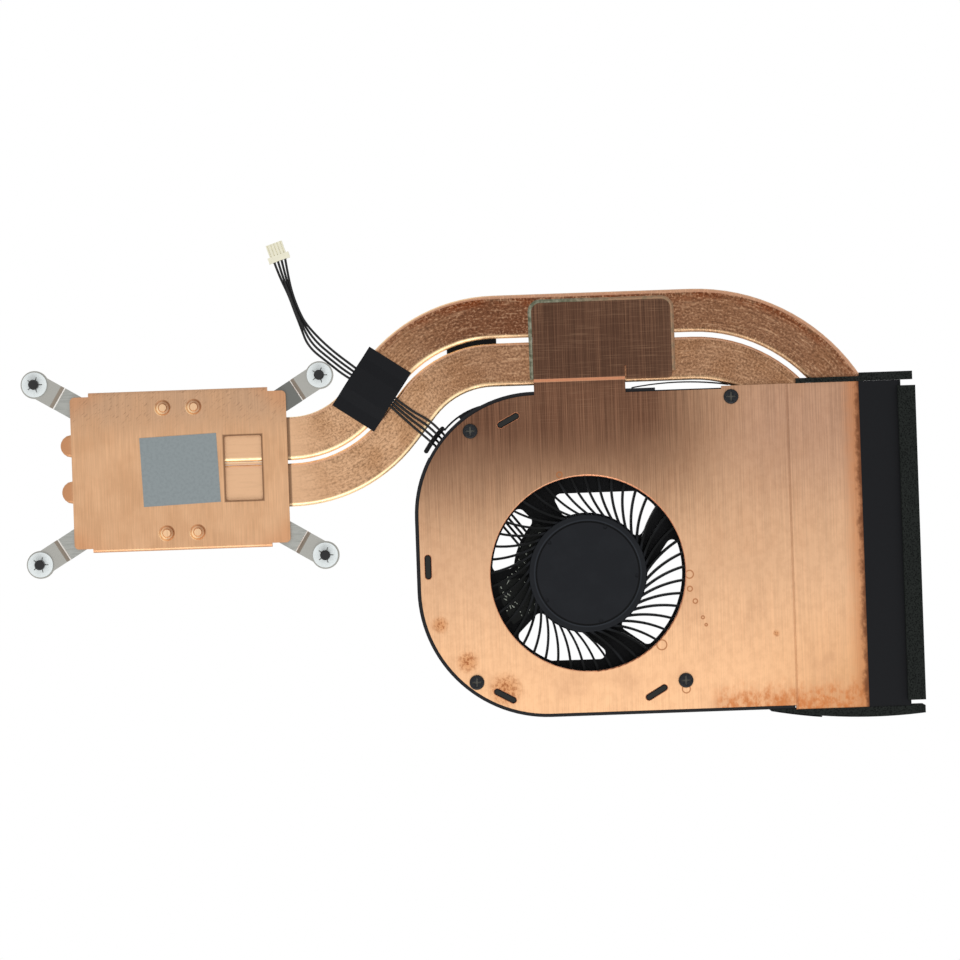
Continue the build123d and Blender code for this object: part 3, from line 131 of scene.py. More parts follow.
# Dimples pressed into the plate, and the window over the pipes: middle, length, width
DIMPLES = ((-3.1, 12.55), (3.1, 12.55), (-3.1, -12.55), (3.1, -12.55))
PLATE_WINDOW = (12.7, 0.0, 7.4, 12.9)
# Hub of the impeller: where the blades begin, its groove and the rim beside it
BLADE_ROOT = (12.6, 11.8)
HUB_GROOVE = (10.2, 10.45)
HUB_RIM = (10.55, 10.75)
# Spring straps: Z of the step's painted bright line, its painted brown shadow and the pad above, and the
# dull arm's place
STRAP_LINE = (-0.86, -0.7)
STRAP_SHADOW = (-0.66, -0.14)
STRAP_PAD = (-0.14, -0.11)
DULL_ARM = (22.5, 14.5)
# Z over which the tabs of the frame stand above the cover, and the cross is cut in the screws
TAB_TOP = (-0.3, -0.2)
SCREW_CROSS = (0.36, 0.22)
# Solder on the motor board: X, Y, length, width and turn of each pad
BOARD_SOLDER = (
    (69.5, -17.6, 0.6, 0.40, 38), (68.7, -19.3, 0.5, 0.42, 18), (67.2, -20.4, 0.5, 0.26, -52),
    (67.5, -17.8, 0.3, 0.26, 58), (68.3, -21.0, 0.3, 0.26, 43), (67.1, -22.0, 0.3, 0.26, 43),
    (66.5, -22.7, 0.3, 0.26, 43), (65.7, -23.3, 0.5, 0.30, -62), (65.0, -24.5, 2.2, 0.26, 60),
    (64.8, -23.8, 0.3, 0.26, 58), (67.2, -24.4, 0.6, 0.26, -42), (68.3, -25.1, 0.6, 0.26, -42),
    (63.4, -25.9, 0.6, 0.30, -62), (65.1, -26.6, 0.7, 0.40, -32), (65.7, -25.9, 0.5, 0.30, 58),
    (63.6, -27.1, 1.3, 0.26, 46), (64.8, -27.3, 1.1, 0.26, -37), (64.3, -27.7, 0.7, 0.30, -37),
    (64.2, -28.3, 0.9, 0.26, -32), (65.6, -28.7, 0.3, 0.26, 68), (66.1, -28.9, 0.3, 0.26, 68),
    (66.5, -29.2, 0.4, 0.26, -62), (65.1, -29.8, 1.2, 0.26, -72), (65.7, -29.8, 0.9, 0.26, -44),
    (67.5, -29.6, 0.4, 0.26, 48), (70.1, -29.5, 0.5, 0.30, -52), (68.9, -30.4, 0.9, 0.26, -77),
    (68.6, -31.1, 0.4, 0.26, 18), (67.1, -30.9, 0.3, 0.26, -62), (67.3, -31.6, 0.3, 0.26, -62),
    (64.4, -29.9, 0.4, 0.30, -2), (64.4, -30.6, 0.4, 0.30, -2), (69.5, -15.7, 0.4, 0.26, 38),
    (71.5, -15.1, 0.5, 0.26, 28),
)
BOARD_LEVEL = -5.0
SOLDER_HEIGHT = 0.36
SOLDER_SIDES = 16
# Width of a solder pad's top as a share of its foot
SOLDER_TOP = 0.85

# Studio: table, soft box and camera, in millimetres, and the strength of the dome's light
TABLE_WIDTH = 3000.0
TABLE_MIDDLE = 60.0
TABLE_GAP = 0.02
SOFTBOX_SIZE = (500.0, 250.0)
SOFTBOX_PLACE = (60.0, -450.0, 450.0)
SOFTBOX_TILT = 45
SOFTBOX_WATTS = 1.5
HORIZON_LIGHT = 0.3
ZENITH_LIGHT = 1.0
SENSOR_WIDTH = 36.0
PICTURE_WIDTH = 192.0
PICTURE_MIDDLE = (59.894, -4.093)
CAMERA_HEIGHT = 700.0
CAMERA_TURN = -2.0

# Settings that many nodes share: a smooth ramp, one tone over another, and a tone that darkens
SMOOTH = {"interpolation_type": "SMOOTHSTEP"}
OVER = {"data_type": "RGBA"}
DARKEN = {"data_type": "RGBA", "blend_type": "MULTIPLY"}
# Depth of relief: brush lines, moulded skin, crinkles of bending, lumps of solder, pits of foam
BRUSH_DEPTH = 0.002
SKIN_DEPTH = 0.004
CRINKLE_DEPTH = 0.025
LUMP_DEPTH = 0.15
PIT_DEPTH = 0.06
# Limits of a noise between which two tones blend about evenly
EVENLY = (0.35, 0.65)


def linear(tone):
    """Linear colour of an sRGB hex tone."""
    parts = [int(tone[i : i + 2], 16) / 255 for i in (1, 3, 5)]
    return tuple(p / 12.92 if p <= 0.04045 else ((p + 0.055) / 1.055) ** 2.4 for p in parts) + (1.0,)


def add(tree, kind, *inputs, sockets=None, **settings):
    """Add a node with its settings, fill its open inputs in order or by name, return its first output."""
    node = tree.nodes.new("ShaderNode" + kind)
    for key, value in settings.items():
        setattr(node, key, value)
    filled = list(zip([socket for socket in node.inputs if socket.enabled], inputs))
    filled += [(node.inputs[name], value) for name, value in (sockets or {}).items()]
    for socket, value in filled:
        if isinstance(value, bpy.types.NodeSocket):
            tree.links.new(value, socket)
        else:
            socket.default_value = value
    return next((socket for socket in node.outputs if socket.enabled), None)


def start_finish(name):
    """New material with its node tree and the place on the part in millimetres."""
    material = bpy.data.materials.new(name)
    material.use_nodes = True
    tree = material.node_tree
    tree.nodes.clear()
    metres = add(tree, "TexCoord").node.outputs["Object"]
    place = add(tree, "VectorMath", metres, (1 / MM,) * 3, operation="MULTIPLY")
    return material, tree, place


def end_finish(tree, surface):
    """Join the surface's colour, sheen and relief to the material's output."""
    add(tree, "OutputMaterial", add(tree, "BsdfPrincipled", sockets=surface))


def grain(tree, place, size, detail=3.0, rough=0.55):
    """Noise whose marks have the given real size along X, Y and Z."""
    scaled = add(tree, "VectorMath", place, tuple(1 / side for side in size), operation="MULTIPLY")
    return add(tree, "TexNoise", scaled, 1.0, detail, rough)


def overlap(tree, *masks):
    """Product of several masks: full only where all of them are."""
    total = masks[0]
    for mask in masks[1:]:
        total = add(tree, "Math", total, mask, operation="MULTIPLY")
    return total


def away(tree, value, middle):
    """How far a value lies from a middle one, to either side."""
    offset = add(tree, "Math", value, middle, operation="SUBTRACT")
    return add(tree, "Math", offset, operation="ABSOLUTE")


def distance(tree, place, centre):
    """Distance from a point of the part, counted in the plane of the part."""
    flat = add(tree, "VectorMath", place, (1.0, 1.0, 0.0), operation="MULTIPLY")
    return add(tree, "VectorMath", flat, (*centre, 0.0), operation="DISTANCE")


def near(tree, place, centre, full, gone):
    """1 close to a point of the part and 0 far from it."""
    return add(tree, "MapRange", distance(tree, place, centre), full, gone, 1.0, 0.0, **SMOOTH)


def band(tree, value, low, high, soft):
    """1 between two limits and 0 outside them, with soft edges."""
    rise = add(tree, "MapRange", value, low - soft, low, **SMOOTH)
    fall = add(tree, "MapRange", value, high, high + soft, 1.0, 0.0, **SMOOTH)
    return overlap(tree, rise, fall)


def two_bands(tree, value, limits, soft):
    """Two bands in one mask."""
    first, second = (band(tree, value, low, high, soft) for low, high in limits)
    return add(tree, "Math", first, second, operation="ADD")


def facing(tree):
    """Z of the surface's own direction: 1 on the flat and less on rounded or slanted faces."""
    direction = add(tree, "TexCoord").node.outputs["Normal"]
    return add(tree, "SeparateXYZ", direction).node.outputs["Z"]


def pipe_course(tree, place):
    """Length along the heat pipes and distance across them, round every bend."""
    flat = add(tree, "VectorMath", place, (1.0, 1.0, 0.0), operation="MULTIPLY")
    course = None
    for (x, y), heading, turn, radius, before, offset in PIPE_COURSE:
        run = (cos(radians(heading)), sin(radians(heading)), 0.0)
        side = (run[1], -run[0], 0.0)
        local = add(tree, "VectorMath", flat, (x, y, 0.0), operation="SUBTRACT")
        ahead, right = (add(tree, "VectorMath", local, way, operation="DOT_PRODUCT") for way in (run, side))
        along, across = ahead, right
        if turn:
            reach = add(tree, "VectorMath", local, operation="LENGTH")
            angle = add(tree, "Math", ahead, overlap(tree, right, turn), operation="ARCTAN2")
            along = overlap(tree, angle, radius)
            across = overlap(tree, reach, turn)
        along = add(tree, "Math", along, before, operation="ADD")
        across = add(tree, "Math", across, offset, operation="ADD")
        here = add(tree, "CombineXYZ", along, across)
        if course is None:
            course = here
            continue
        passed = add(tree, "Math", ahead, 0.0, operation="GREATER_THAN")
        course = add(tree, "Mix", passed, course, here, data_type="VECTOR")
    return course


def brushed_copper_cover():
    """Brushed copper sheet: fine upright lines, brown from the soldering heat, oxide at the edges."""
    material, tree, place = start_finish("brushed copper cover")
    x, y, _ = add(tree, "SeparateXYZ", place).node.outputs
    # Brush lines and scuffs are drawn some times coarser than real ones, so that they show
    brushing = grain(tree, place, (0.13, 22.0, 2.0), 3.0, 0.6)
    scuff = grain(tree, place, (7.0, 0.14, 2.0), 3.0, 0.6)
    wisp = grain(tree, place, (1.3, 2.6, 2.0), 5.0, 0.65)
    blotch = grain(tree, place, (1.5, 2.0, 1.5), 4.0, 0.65)
    cloud = grain(tree, place, (9.0, 12.0, 9.0), 4.0)
    speckle = grain(tree, place, (0.6, 0.8, 0.6), 4.0, 0.7)

    # Golden sheet, with painted light making it brighter low down, a little pinker at the top right and
    # duller at the low right
    downward = add(tree, "MapRange", y, -18.0, -47.0, **SMOOTH)
    colour = add(tree, "Mix", downward, linear("#DEB18B"), linear("#F8C597"), **OVER)
    to_right = add(tree, "MapRange", x, 98.0, 122.0, **SMOOTH)
    upward = add(tree, "MapRange", y, -20.0, 8.0, **SMOOTH)
    colour = add(tree, "Mix", overlap(tree, to_right, upward, 0.5), colour, linear("#DDAE94"), **OVER)
    to_right = add(tree, "MapRange", x, 106.0, 136.0, **SMOOTH)
    downward = add(tree, "MapRange", y, -26.0, -50.0, **SMOOTH)
    colour = add(tree, "Mix", overlap(tree, to_right, downward, 0.6), colour, linear("#D09A6A"), **OVER)
    clouded = add(tree, "MapRange", cloud, 0.45, 0.75, 0.0, 0.4, **SMOOTH)
    colour = add(tree, "Mix", clouded, colour, linear("#D3A27C"), **OVER)
    blotched = add(tree, "MapRange", blotch, 0.36, 0.6, 0.12, 0.0, **SMOOTH)
    colour = add(tree, "Mix", blotched, colour, linear("#B09A88"), **DARKEN)

    # Brown left by the soldering heat, and the ear made darker still
    fading = add(tree, "MapRange", x, 92.0, 114.0, 1.0, 0.38, **SMOOTH)
    heat = overlap(tree, add(tree, "MapRange", y, *COVER_HEAT, **SMOOTH), fading)
    brown = overlap(tree, heat, add(tree, "MapRange", cloud, 0.1, 0.6, 0.88, 1.0, **SMOOTH))
    colour = add(tree, "Mix", brown, colour, linear("#76523E"), **OVER)
    ear = add(tree, "MapRange", y, *EAR_DARK, 0.0, 0.85, **SMOOTH)
    colour = add(tree, "Mix", ear, colour, linear("#5C4031"), **OVER)
    dark_lines = add(tree, "MapRange", brushing, 0.38, 0.56, 0.4, 0.0, **SMOOTH)
    colour = add(tree, "Mix", overlap(tree, heat, dark_lines), colour, linear("#6E6460"), **DARKEN)
    light_lines = add(tree, "MapRange", brushing, 0.55, 0.73, 0.0, 0.27, **SMOOTH)
    colour = add(tree, "Mix", overlap(tree, heat, light_lines), colour, linear("#B98A68"), **OVER)
    crosswise = add(tree, "MapRange", scuff, 0.53, 0.69, 0.0, 0.26, **SMOOTH)
    by_ear = add(tree, "MapRange", y, 0.0, 16.0, **SMOOTH)
    colour = add(tree, "Mix", overlap(tree, by_ear, crosswise), colour, linear("#A98468"), **OVER)
    # Painted highlight along the fold of the ear, where the step faces the light
    fold_highlight = overlap(tree, band(tree, y, *EAR_FOLD, 0.12), band(tree, x, *EAR_NECK, 0.1), 0.8)
    colour = add(tree, "Mix", fold_highlight, colour, linear("#D29B78"), **OVER)

    # Orange oxide along the lower edge and the outlet film, a painted shadow at the film's edge, and smears
    # elsewhere
    wavering = add(tree, "MapRange", wisp, 0.3, 0.7, -1.4, 1.2, **SMOOTH)
    fringe = add(tree, "Math", y, wavering, operation="ADD")
    low_edge = add(tree, "MapRange", fringe, *OXIDE_DEPTH, **SMOOTH)
    patches = add(tree, "MapRange", blotch, 0.36, 0.6, 0.2, 0.85, **SMOOTH)
    low_edge = overlap(tree, low_edge, band(tree, x, *OXIDE_RUN, 3.0), patches)
    colour = add(tree, "Mix", low_edge, colour, linear("#C5733A"), **OVER)
    stain = add(tree, "MapRange", speckle, 0.44, 0.62, **SMOOTH)
    for smear_x, smear_y, radius in OXIDE_SMEARS:
        spread = near(tree, place, (smear_x, smear_y), radius / 5, radius)
        colour = add(tree, "Mix", overlap(tree, spread, 0.6), colour, linear("#D08A52"), **OVER)
        colour = add(tree, "Mix", overlap(tree, spread, stain, 0.8), colour, linear("#9A5428"), **OVER)
    wavering = add(tree, "MapRange", blotch, 0.3, 0.7, -0.4, 0.4, **SMOOTH)
    by_film = add(tree, "Math", x, wavering, operation="ADD")
    film_stain = add(tree, "MapRange", by_film, *FILM_STAIN, 0.0, 0.65, **SMOOTH)
    colour = add(tree, "Mix", film_stain, colour, linear("#BF7A4A"), **OVER)
    # Painted shadow along the edge of the outlet film
    film_shadow = add(tree, "MapRange", by_film, *FILM_SHADOW, 0.0, 0.9, **SMOOTH)
    colour = add(tree, "Mix", film_shadow, colour, linear("#6B3F28"), **OVER)
    for drop_x, drop_y, width in DRIED_DROPS:
        ring = band(tree, distance(tree, place, (drop_x, drop_y)), width / 2 - 0.12, width / 2, 0.14)
        colour = add(tree, "Mix", overlap(tree, ring, 0.8), colour, linear("#A9693F"), **OVER)

    # Painted salmon highlight on the rounded lips of the intake and the slots
    left_of_step = add(tree, "MapRange", x, *COVER_STEP, 0.9, 0.0, **SMOOTH)
    lip_highlight = overlap(tree, add(tree, "MapRange", facing(tree), 0.98, 0.85, **SMOOTH), left_of_step)
    colour = add(tree, "Mix", lip_highlight, colour, linear("#E39B74"), **OVER)
    lines = add(tree, "MapRange", brushing, 0.40, 0.62, 0.13, 0.0, **SMOOTH)
    colour = add(tree, "Mix", lines, colour, linear("#8F8F8F"), **DARKEN)
    relief = {"Height": brushing, "Distance": BRUSH_DEPTH * MM, "Strength": 1.0}
    surface = {
        "Base Color": colour,
        "Metallic": 0.9,
        "Roughness": add(tree, "MapRange", brushing, 0.3, 0.7, 0.36, 0.48, **SMOOTH),
        "Normal": add(tree, "Bump", sockets=relief),
    }
    end_finish(tree, surface)
    return material


def rolled_copper_plate():
    """Rolled copper sheet: faint upright grain, short scratches at the top, redder corners."""
    material, tree, place = start_finish("rolled copper plate")
    x, y, _ = add(tree, "SeparateXYZ", place).node.outputs
    # Rolling lines and scratches are drawn some times coarser than real ones, so that they show
    rolling = grain(tree, place, (0.16, 10.0, 2.0), 3.0, 0.6)
    slant = {"Vector": place, "Angle": radians(-40)}
    slanted = add(tree, "VectorRotate", sockets=slant, rotation_type="Z_AXIS")
    scratching = grain(tree, slanted, (1.5, 0.2, 1.0), 3.0, 0.6)
    cloud = grain(tree, place, (7.0, 9.0, 7.0), 4.0)

    clouded = add(tree, "MapRange", cloud, *EVENLY, **SMOOTH)
    colour = add(tree, "Mix", clouded, linear("#D2A37B"), linear("#DCAE86"), **OVER)
    duller = add(tree, "MapRange", cloud, 0.3, 0.6, 0.5, 0.9, **SMOOTH)
    upper = overlap(tree, add(tree, "MapRange", y, 4.0, 14.0, **SMOOTH), duller)
    colour = add(tree, "Mix", upper, colour, linear("#C39C7C"), **OVER)
    outward = overlap(tree, away(tree, x, 0.0), away(tree, y, 0.0))
    corners = add(tree, "MapRange", outward, 190.0, 300.0, 0.0, 0.45, **SMOOTH)
    colour = add(tree, "Mix", corners, colour, linear("#C98B60"), **OVER)
    scratches = add(tree, "MapRange", scratching, 0.58, 0.68, **SMOOTH)
    at_top = add(tree, "MapRange", y, 7.0, 12.0, **SMOOTH)
    colour = add(tree, "Mix", overlap(tree, scratches, at_top, 0.55), colour, linear("#7C5C46"), **OVER)

    # Each dimple with a painted highlight in its core and on its lower left, and painted shade on its upper
    # right
    for dimple_x, dimple_y in DIMPLES:
        core = near(tree, place, (dimple_x, dimple_y), 0.75, 0.95)
        colour = add(tree, "Mix", overlap(tree, core, 0.7), colour, linear("#F6CDA2"), **OVER)
        moat = band(tree, distance(tree, place, (dimple_x, dimple_y)), 1.0, 1.6, 0.12)
        bright = overlap(tree, moat, near(tree, place, (dimple_x - 1.1, dimple_y - 0.8), 0.5, 1.8), 0.8)
        colour = add(tree, "Mix", bright, colour, linear("#FFD9A8"), **OVER)
        shaded = overlap(tree, moat, near(tree, place, (dimple_x + 1.1, dimple_y + 0.8), 0.5, 1.8), 0.5)
        colour = add(tree, "Mix", shaded, colour, linear("#8A5A3A"), **OVER)

    # Dark flux and painted shadow round the window
    middle_x, middle_y, length, width = PLATE_WINDOW
    beyond_x = add(tree, "Math", away(tree, x, middle_x), length / 2, operation="SUBTRACT")
    beyond_y = add(tree, "Math", away(tree, y, middle_y), width / 2, operation="SUBTRACT")
    beyond = add(tree, "Math", beyond_x, beyond_y, operation="MAXIMUM")
    flux = add(tree, "MapRange", beyond, 0.15, 0.45, 0.75, 0.0, **SMOOTH)
    colour = add(tree, "Mix", flux, colour, linear("#5E3E2A"), **OVER)
    lines = add(tree, "MapRange", rolling, 0.42, 0.6, 0.16, 0.0, **SMOOTH)
    colour = add(tree, "Mix", lines, colour, linear("#8E8E8E"), **DARKEN)
    relief = {"Height": rolling, "Distance": BRUSH_DEPTH * MM, "Strength": 1.0}
    surface = {
        "Base Color": colour,
        "Metallic": 0.9,
        "Roughness": add(tree, "MapRange", rolling, 0.3, 0.7, 0.38, 0.48, **SMOOTH),
        "Normal": add(tree, "Bump", sockets=relief),
    }
    end_finish(tree, surface)
    return material


def drawn_copper_pipe():
    """Flattened copper pipe: crinkled along its bends, smooth by the plate, browned by the ear."""
    material, tree, place = start_finish("drawn copper pipe")
    course = pipe_course(tree, place)
    along, across, _ = add(tree, "SeparateXYZ", course).node.outputs
    x = add(tree, "SeparateXYZ", place).node.outputs["X"]
    mottle = grain(tree, course, (0.5, 0.42, 1.0), 5.0, 0.65)
    streak = grain(tree, course, (5.0, 0.5, 1.0), 4.0, 0.6)
    tick = grain(tree, course, (0.3, 0.9, 1.0), 3.0, 0.6)
    cloud = grain(tree, place, (6.0, 6.0, 6.0), 4.0)
    from_outer = away(tree, across, OUTER_PIPE_ACROSS)
    from_inner = away(tree, across, INNER_PIPE_ACROSS)
    from_middle = add(tree, "Math", from_outer, from_inner, operation="MINIMUM")
    edge = add(tree, "MapRange", from_middle, 2.2, 3.8, **SMOOTH)
    bent = add(tree, "MapRange", along, *BENDING, **SMOOTH)

    # Clean and pale by the plate
    clouded = add(tree, "MapRange", cloud, *EVENLY, **SMOOTH)
    colour = add(tree, "Mix", clouded, linear("#BE9069"), linear("#D1A57F"), **OVER)
    by_plate = add(tree, "MapRange", along, 12.0, -4.0, **SMOOTH)
    colour = add(tree, "Mix", by_plate, colour, linear("#DDB28C"), **OVER)

    # Brown by the ear, darker and redder on the outer pipe
    on_outer = add(tree, "MapRange", across, *PIPE_GAP, 1.0, 0.0, **SMOOTH)
    past_ear = add(tree, "MapRange", x, 97.0, 103.0, 1.0, 0.8, **SMOOTH)
    on_outer = overlap(tree, on_outer, add(tree, "MapRange", along, 16.0, 47.0, **SMOOTH), past_ear)
    on_inner = add(tree, "MapRange", across, *PIPE_GAP, 0.0, 0.58, **SMOOTH)
    on_inner = overlap(tree, on_inner, add(tree, "MapRange", along, 20.0, 46.0, **SMOOTH))
    heat = add(tree, "Math", on_outer, on_inner, operation="ADD")
    brown = overlap(tree, heat, add(tree, "MapRange", cloud, 0.1, 0.6, 0.85, 1.0, **SMOOTH))
    colour = add(tree, "Mix", brown, colour, linear("#7A4D34"), **OVER)
    outermost = add(tree, "MapRange", across, 16.8, 14.8, **SMOOTH)
    red = overlap(tree, heat, outermost, add(tree, "MapRange", cloud, 0.35, 0.6, **SMOOTH))
    colour = add(tree, "Mix", red, colour, linear("#84431F"), **OVER)

    # Crinkles: mottle and streaks on the flat, ticks across it towards the edges; all but the darker drawn
    # streaks are painted shade and highlights
    shade = overlap(tree, bent, add(tree, "MapRange", mottle, 0.38, 0.54, 0.5, 0.0, **SMOOTH))
    colour = add(tree, "Mix", shade, colour, linear("#75685E"), **DARKEN)
    fine_light = overlap(tree, bent, add(tree, "MapRange", mottle, 0.53, 0.68, 0.0, 0.42, **SMOOTH))
    colour = add(tree, "Mix", fine_light, colour, linear("#E8C09A"), **OVER)
    drawn = add(tree, "MapRange", streak, 0.36, 0.52, 0.22, 0.0, **SMOOTH)
    drawn = overlap(tree, drawn, add(tree, "MapRange", along, *BENDING, 0.3, 1.0, **SMOOTH))
    colour = add(tree, "Mix", drawn, colour, linear("#8C8078"), **DARKEN)
    shine = overlap(tree, bent, add(tree, "MapRange", streak, 0.54, 0.7, 0.0, 0.3, **SMOOTH))
    colour = add(tree, "Mix", shine, colour, linear("#E8BE98"), **OVER)
    notch_shade = overlap(tree, bent, edge, add(tree, "MapRange", tick, 0.40, 0.54, 0.36, 0.0, **SMOOTH))
    colour = add(tree, "Mix", notch_shade, colour, linear("#6A5647"), **DARKEN)
    glint = overlap(tree, bent, edge, add(tree, "MapRange", tick, 0.54, 0.68, 0.0, 0.36, **SMOOTH))
    colour = add(tree, "Mix", glint, colour, linear("#F0C8A2"), **OVER)

    # Painted highlights: bright along the lower edges and rounded sides, fading along the pipe, and pinker
    # along the upper edges
    upper_edge_highlight = overlap(tree, two_bands(tree, across, UPPER_PIPE_EDGES, 0.25), 0.5)
    colour = add(tree, "Mix", upper_edge_highlight, colour, linear("#EDB896"), **OVER)
    # The lower and rounded highlights fade along the pipe and in patches
    worn = add(tree, "MapRange", along, 40.0, 58.0, 0.85, 0.2, **SMOOTH)
    worn = overlap(tree, worn, add(tree, "MapRange", cloud, 0.3, 0.6, 0.5, 1.0, **SMOOTH))
    lower_edge_highlight = overlap(tree, two_bands(tree, across, LOWER_PIPE_EDGES, 0.4), worn)
    colour = add(tree, "Mix", lower_edge_highlight, colour, linear("#FFE2B2"), **OVER)
    rounded = overlap(tree, add(tree, "MapRange", facing(tree), 0.9, 0.6, **SMOOTH), worn)
    colour = add(tree, "Mix", rounded, colour, linear("#FFDCAC"), **OVER)

    # Orange on the closed ends, dark flux and painted shadow where the pipes leave the plate
    ends = add(tree, "MapRange", x, -20.5, -22.5, 0.0, 0.7, **SMOOTH)
    colour = add(tree, "Mix", ends, colour, linear("#B5774C"), **OVER)
    flux = overlap(tree, band(tree, x, 21.4, 22.0, 0.4), 0.7)
    colour = add(tree, "Mix", flux, colour, linear("#4A3324"), **OVER)
    relief = {"Height": mottle, "Distance": CRINKLE_DEPTH * MM, "Strength": 0.5}
    surface = {
        "Base Color": colour,
        "Metallic": 0.9,
        "Roughness": add(tree, "MapRange", mottle, 0.3, 0.7, 0.34, 0.5, **SMOOTH),
        "Normal": add(tree, "Bump", sockets=relief),
    }
    end_finish(tree, surface)
    return material


def moulded_black_frame():
    """Glass-filled black plastic: near black with a faint sheen, paler grey on top of the tabs."""
    material, tree, place = start_finish("glass-filled black frame")
    z = add(tree, "SeparateXYZ", place).node.outputs["Z"]
    # The mottle of the moulded skin is drawn coarser than the real one, so that it shows
    mottle = grain(tree, place, (0.25, 0.25, 0.25), 4.0)
    mottled = add(tree, "MapRange", mottle, *EVENLY, **SMOOTH)
    colour = add(tree, "Mix", mottled, linear("#101114"), linear("#1B1C20"), **OVER)
    tabs = add(tree, "MapRange", z, *TAB_TOP, **SMOOTH)
    colour = add(tree, "Mix", tabs, colour, linear("#1E1F1D"), **OVER)
    relief = {"Height": mottle, "Distance": SKIN_DEPTH * MM, "Strength": 1.0}
    surface = {
        "Base Color": colour,
        "Roughness": 0.5,
        "Specular IOR Level": 0.2,
        "Normal": add(tree, "Bump", sockets=relief),
    }
    end_finish(tree, surface)
    return material


def moulded_impeller():
    """Glass-filled black plastic: blue-black hub with painted shade in its groove and a painted highlight
    on the rim beside it, and darker blades.
    """
    material, tree, place = start_finish("glass-filled black impeller")
    # The mottle of the moulded skin is drawn coarser than the real one, so that it shows
    mottle = grain(tree, place, (0.25, 0.25, 0.25), 4.0)
    cloud = grain(tree, place, (4.0, 4.0, 4.0), 4.0)
    out = distance(tree, place, FAN_CENTRE)
    hub = add(tree, "MapRange", out, *BLADE_ROOT, **SMOOTH)
    colour = add(tree, "Mix", hub, linear("#060708"), linear("#17191D"), **OVER)
    clouded = add(tree, "MapRange", cloud, 0.45, 0.7, 0.0, 0.5, **SMOOTH)
    colour = add(tree, "Mix", clouded, colour, linear("#1C1E22"), **OVER)
    # Painted shade in the hub's groove and a painted highlight on its rim
    groove_shade = overlap(tree, band(tree, out, *HUB_GROOVE, 0.1), 0.8)
    colour = add(tree, "Mix", groove_shade, colour, linear("#050506"), **OVER)
    rim_highlight = overlap(tree, band(tree, out, *HUB_RIM, 0.1), 0.3)
    colour = add(tree, "Mix", rim_highlight, colour, linear("#3A3F46"), **OVER)
    mottled = add(tree, "MapRange", mottle, 0.35, 0.6, 0.1, 0.0, **SMOOTH)
    colour = add(tree, "Mix", mottled, colour, linear("#808080"), **DARKEN)
    relief = {"Height": mottle, "Distance": SKIN_DEPTH * MM, "Strength": 1.0}
    surface = {
        "Base Color": colour,
        "Roughness": 0.5,
        "Specular IOR Level": 0.12,
        "Normal": add(tree, "Bump", sockets=relief),
    }
    end_finish(tree, surface)
    return material


def glinting_black_screw():
    """Black zinc plating on the cover's screws, with a painted glint of paler grey in the cross of the
    head.
    """
    material, tree, place = start_finish("glinting black zinc")
    z = add(tree, "SeparateXYZ", place).node.outputs["Z"]
    mottled = add(tree, "MapRange", grain(tree, place, (0.3, 0.3, 0.3), 4.0), *EVENLY, **SMOOTH)
    colour = add(tree, "Mix", mottled, linear("#17191D"), linear("#26282B"), **OVER)
    # Painted glint: paler grey in the cross of the head
    cross = add(tree, "MapRange", z, *SCREW_CROSS, **SMOOTH)
    colour = add(tree, "Mix", cross, colour, linear("#56554F"), **OVER)
    surface = {"Base Color": colour, "Metallic": 0.5, "Roughness": 0.4, "Specular IOR Level": 0.3}
    end_finish(tree, surface)
    return material


def satin_spring_steel():
    """Spring steel strap: pale satin grey, duller on the arm beside the pipes' first bend."""
    material, tree, place = start_finish("satin spring steel")
    z = add(tree, "SeparateXYZ", place).node.outputs["Z"]
    drawing = grain(tree, place, (3.0, 0.3, 1.0), 3.0)
    drawn = add(tree, "MapRange", drawing, *EVENLY, **SMOOTH)
    colour = add(tree, "Mix", drawn, linear("#9C9D98"), linear("#A9AAA5"), **OVER)
    colour = add(tree, "Mix", near(tree, place, DULL_ARM, 3.0, 6.0), colour, linear("#70716D"), **OVER)
    # The step up to each pad: a painted bright line, then a painted brown shadow, then the paler pad
    colour = add(tree, "Mix", band(tree, z, *STRAP_LINE, 0.02), colour, linear("#F4F4F0"), **OVER)
    colour = add(tree, "Mix", band(tree, z, *STRAP_SHADOW, 0.02), colour, linear("#948A7E"), **OVER)
    pad = add(tree, "MapRange", z, *STRAP_PAD, **SMOOTH)
    colour = add(tree, "Mix", pad, colour, linear("#A9A8A2"), **OVER)
    roughness = add(tree, "MapRange", drawing, 0.3, 0.7, 0.36, 0.44, **SMOOTH)
    end_finish(tree, {"Base Color": colour, "Metallic": 0.85, "Roughness": roughness})
    return material


def bead_of_solder():
    """Soft solder: a dull bead, green-grey with flux at the left and copper stained further on."""
    material, tree, place = start_finish("soft solder bead")
    x = add(tree, "SeparateXYZ", place).node.outputs["X"]
    lump = grain(tree, place, (0.9, 0.9, 0.9), 4.0)
    lumped = add(tree, "MapRange", lump, *EVENLY, **SMOOTH)
    colour = add(tree, "Mix", lumped, linear("#5E614D"), linear("#8F8F7C"), **OVER)
    to_right = add(tree, "MapRange", x, 76.0, 90.0, **SMOOTH)
    stained = overlap(tree, to_right, add(tree, "MapRange", lump, 0.3, 0.6, 0.5, 1.0, **SMOOTH))
    colour = add(tree, "Mix", stained, colour, linear("#9C7A5E"), **OVER)
    relief = {"Height": lump, "Distance": LUMP_DEPTH * MM, "Strength": 1.0}
    surface = {
        "Base Color": colour,
        "Metallic": 0.7,
        "Roughness": 0.42,
        "Normal": add(tree, "Bump", sockets=relief),
    }
    end_finish(tree, surface)
    return material


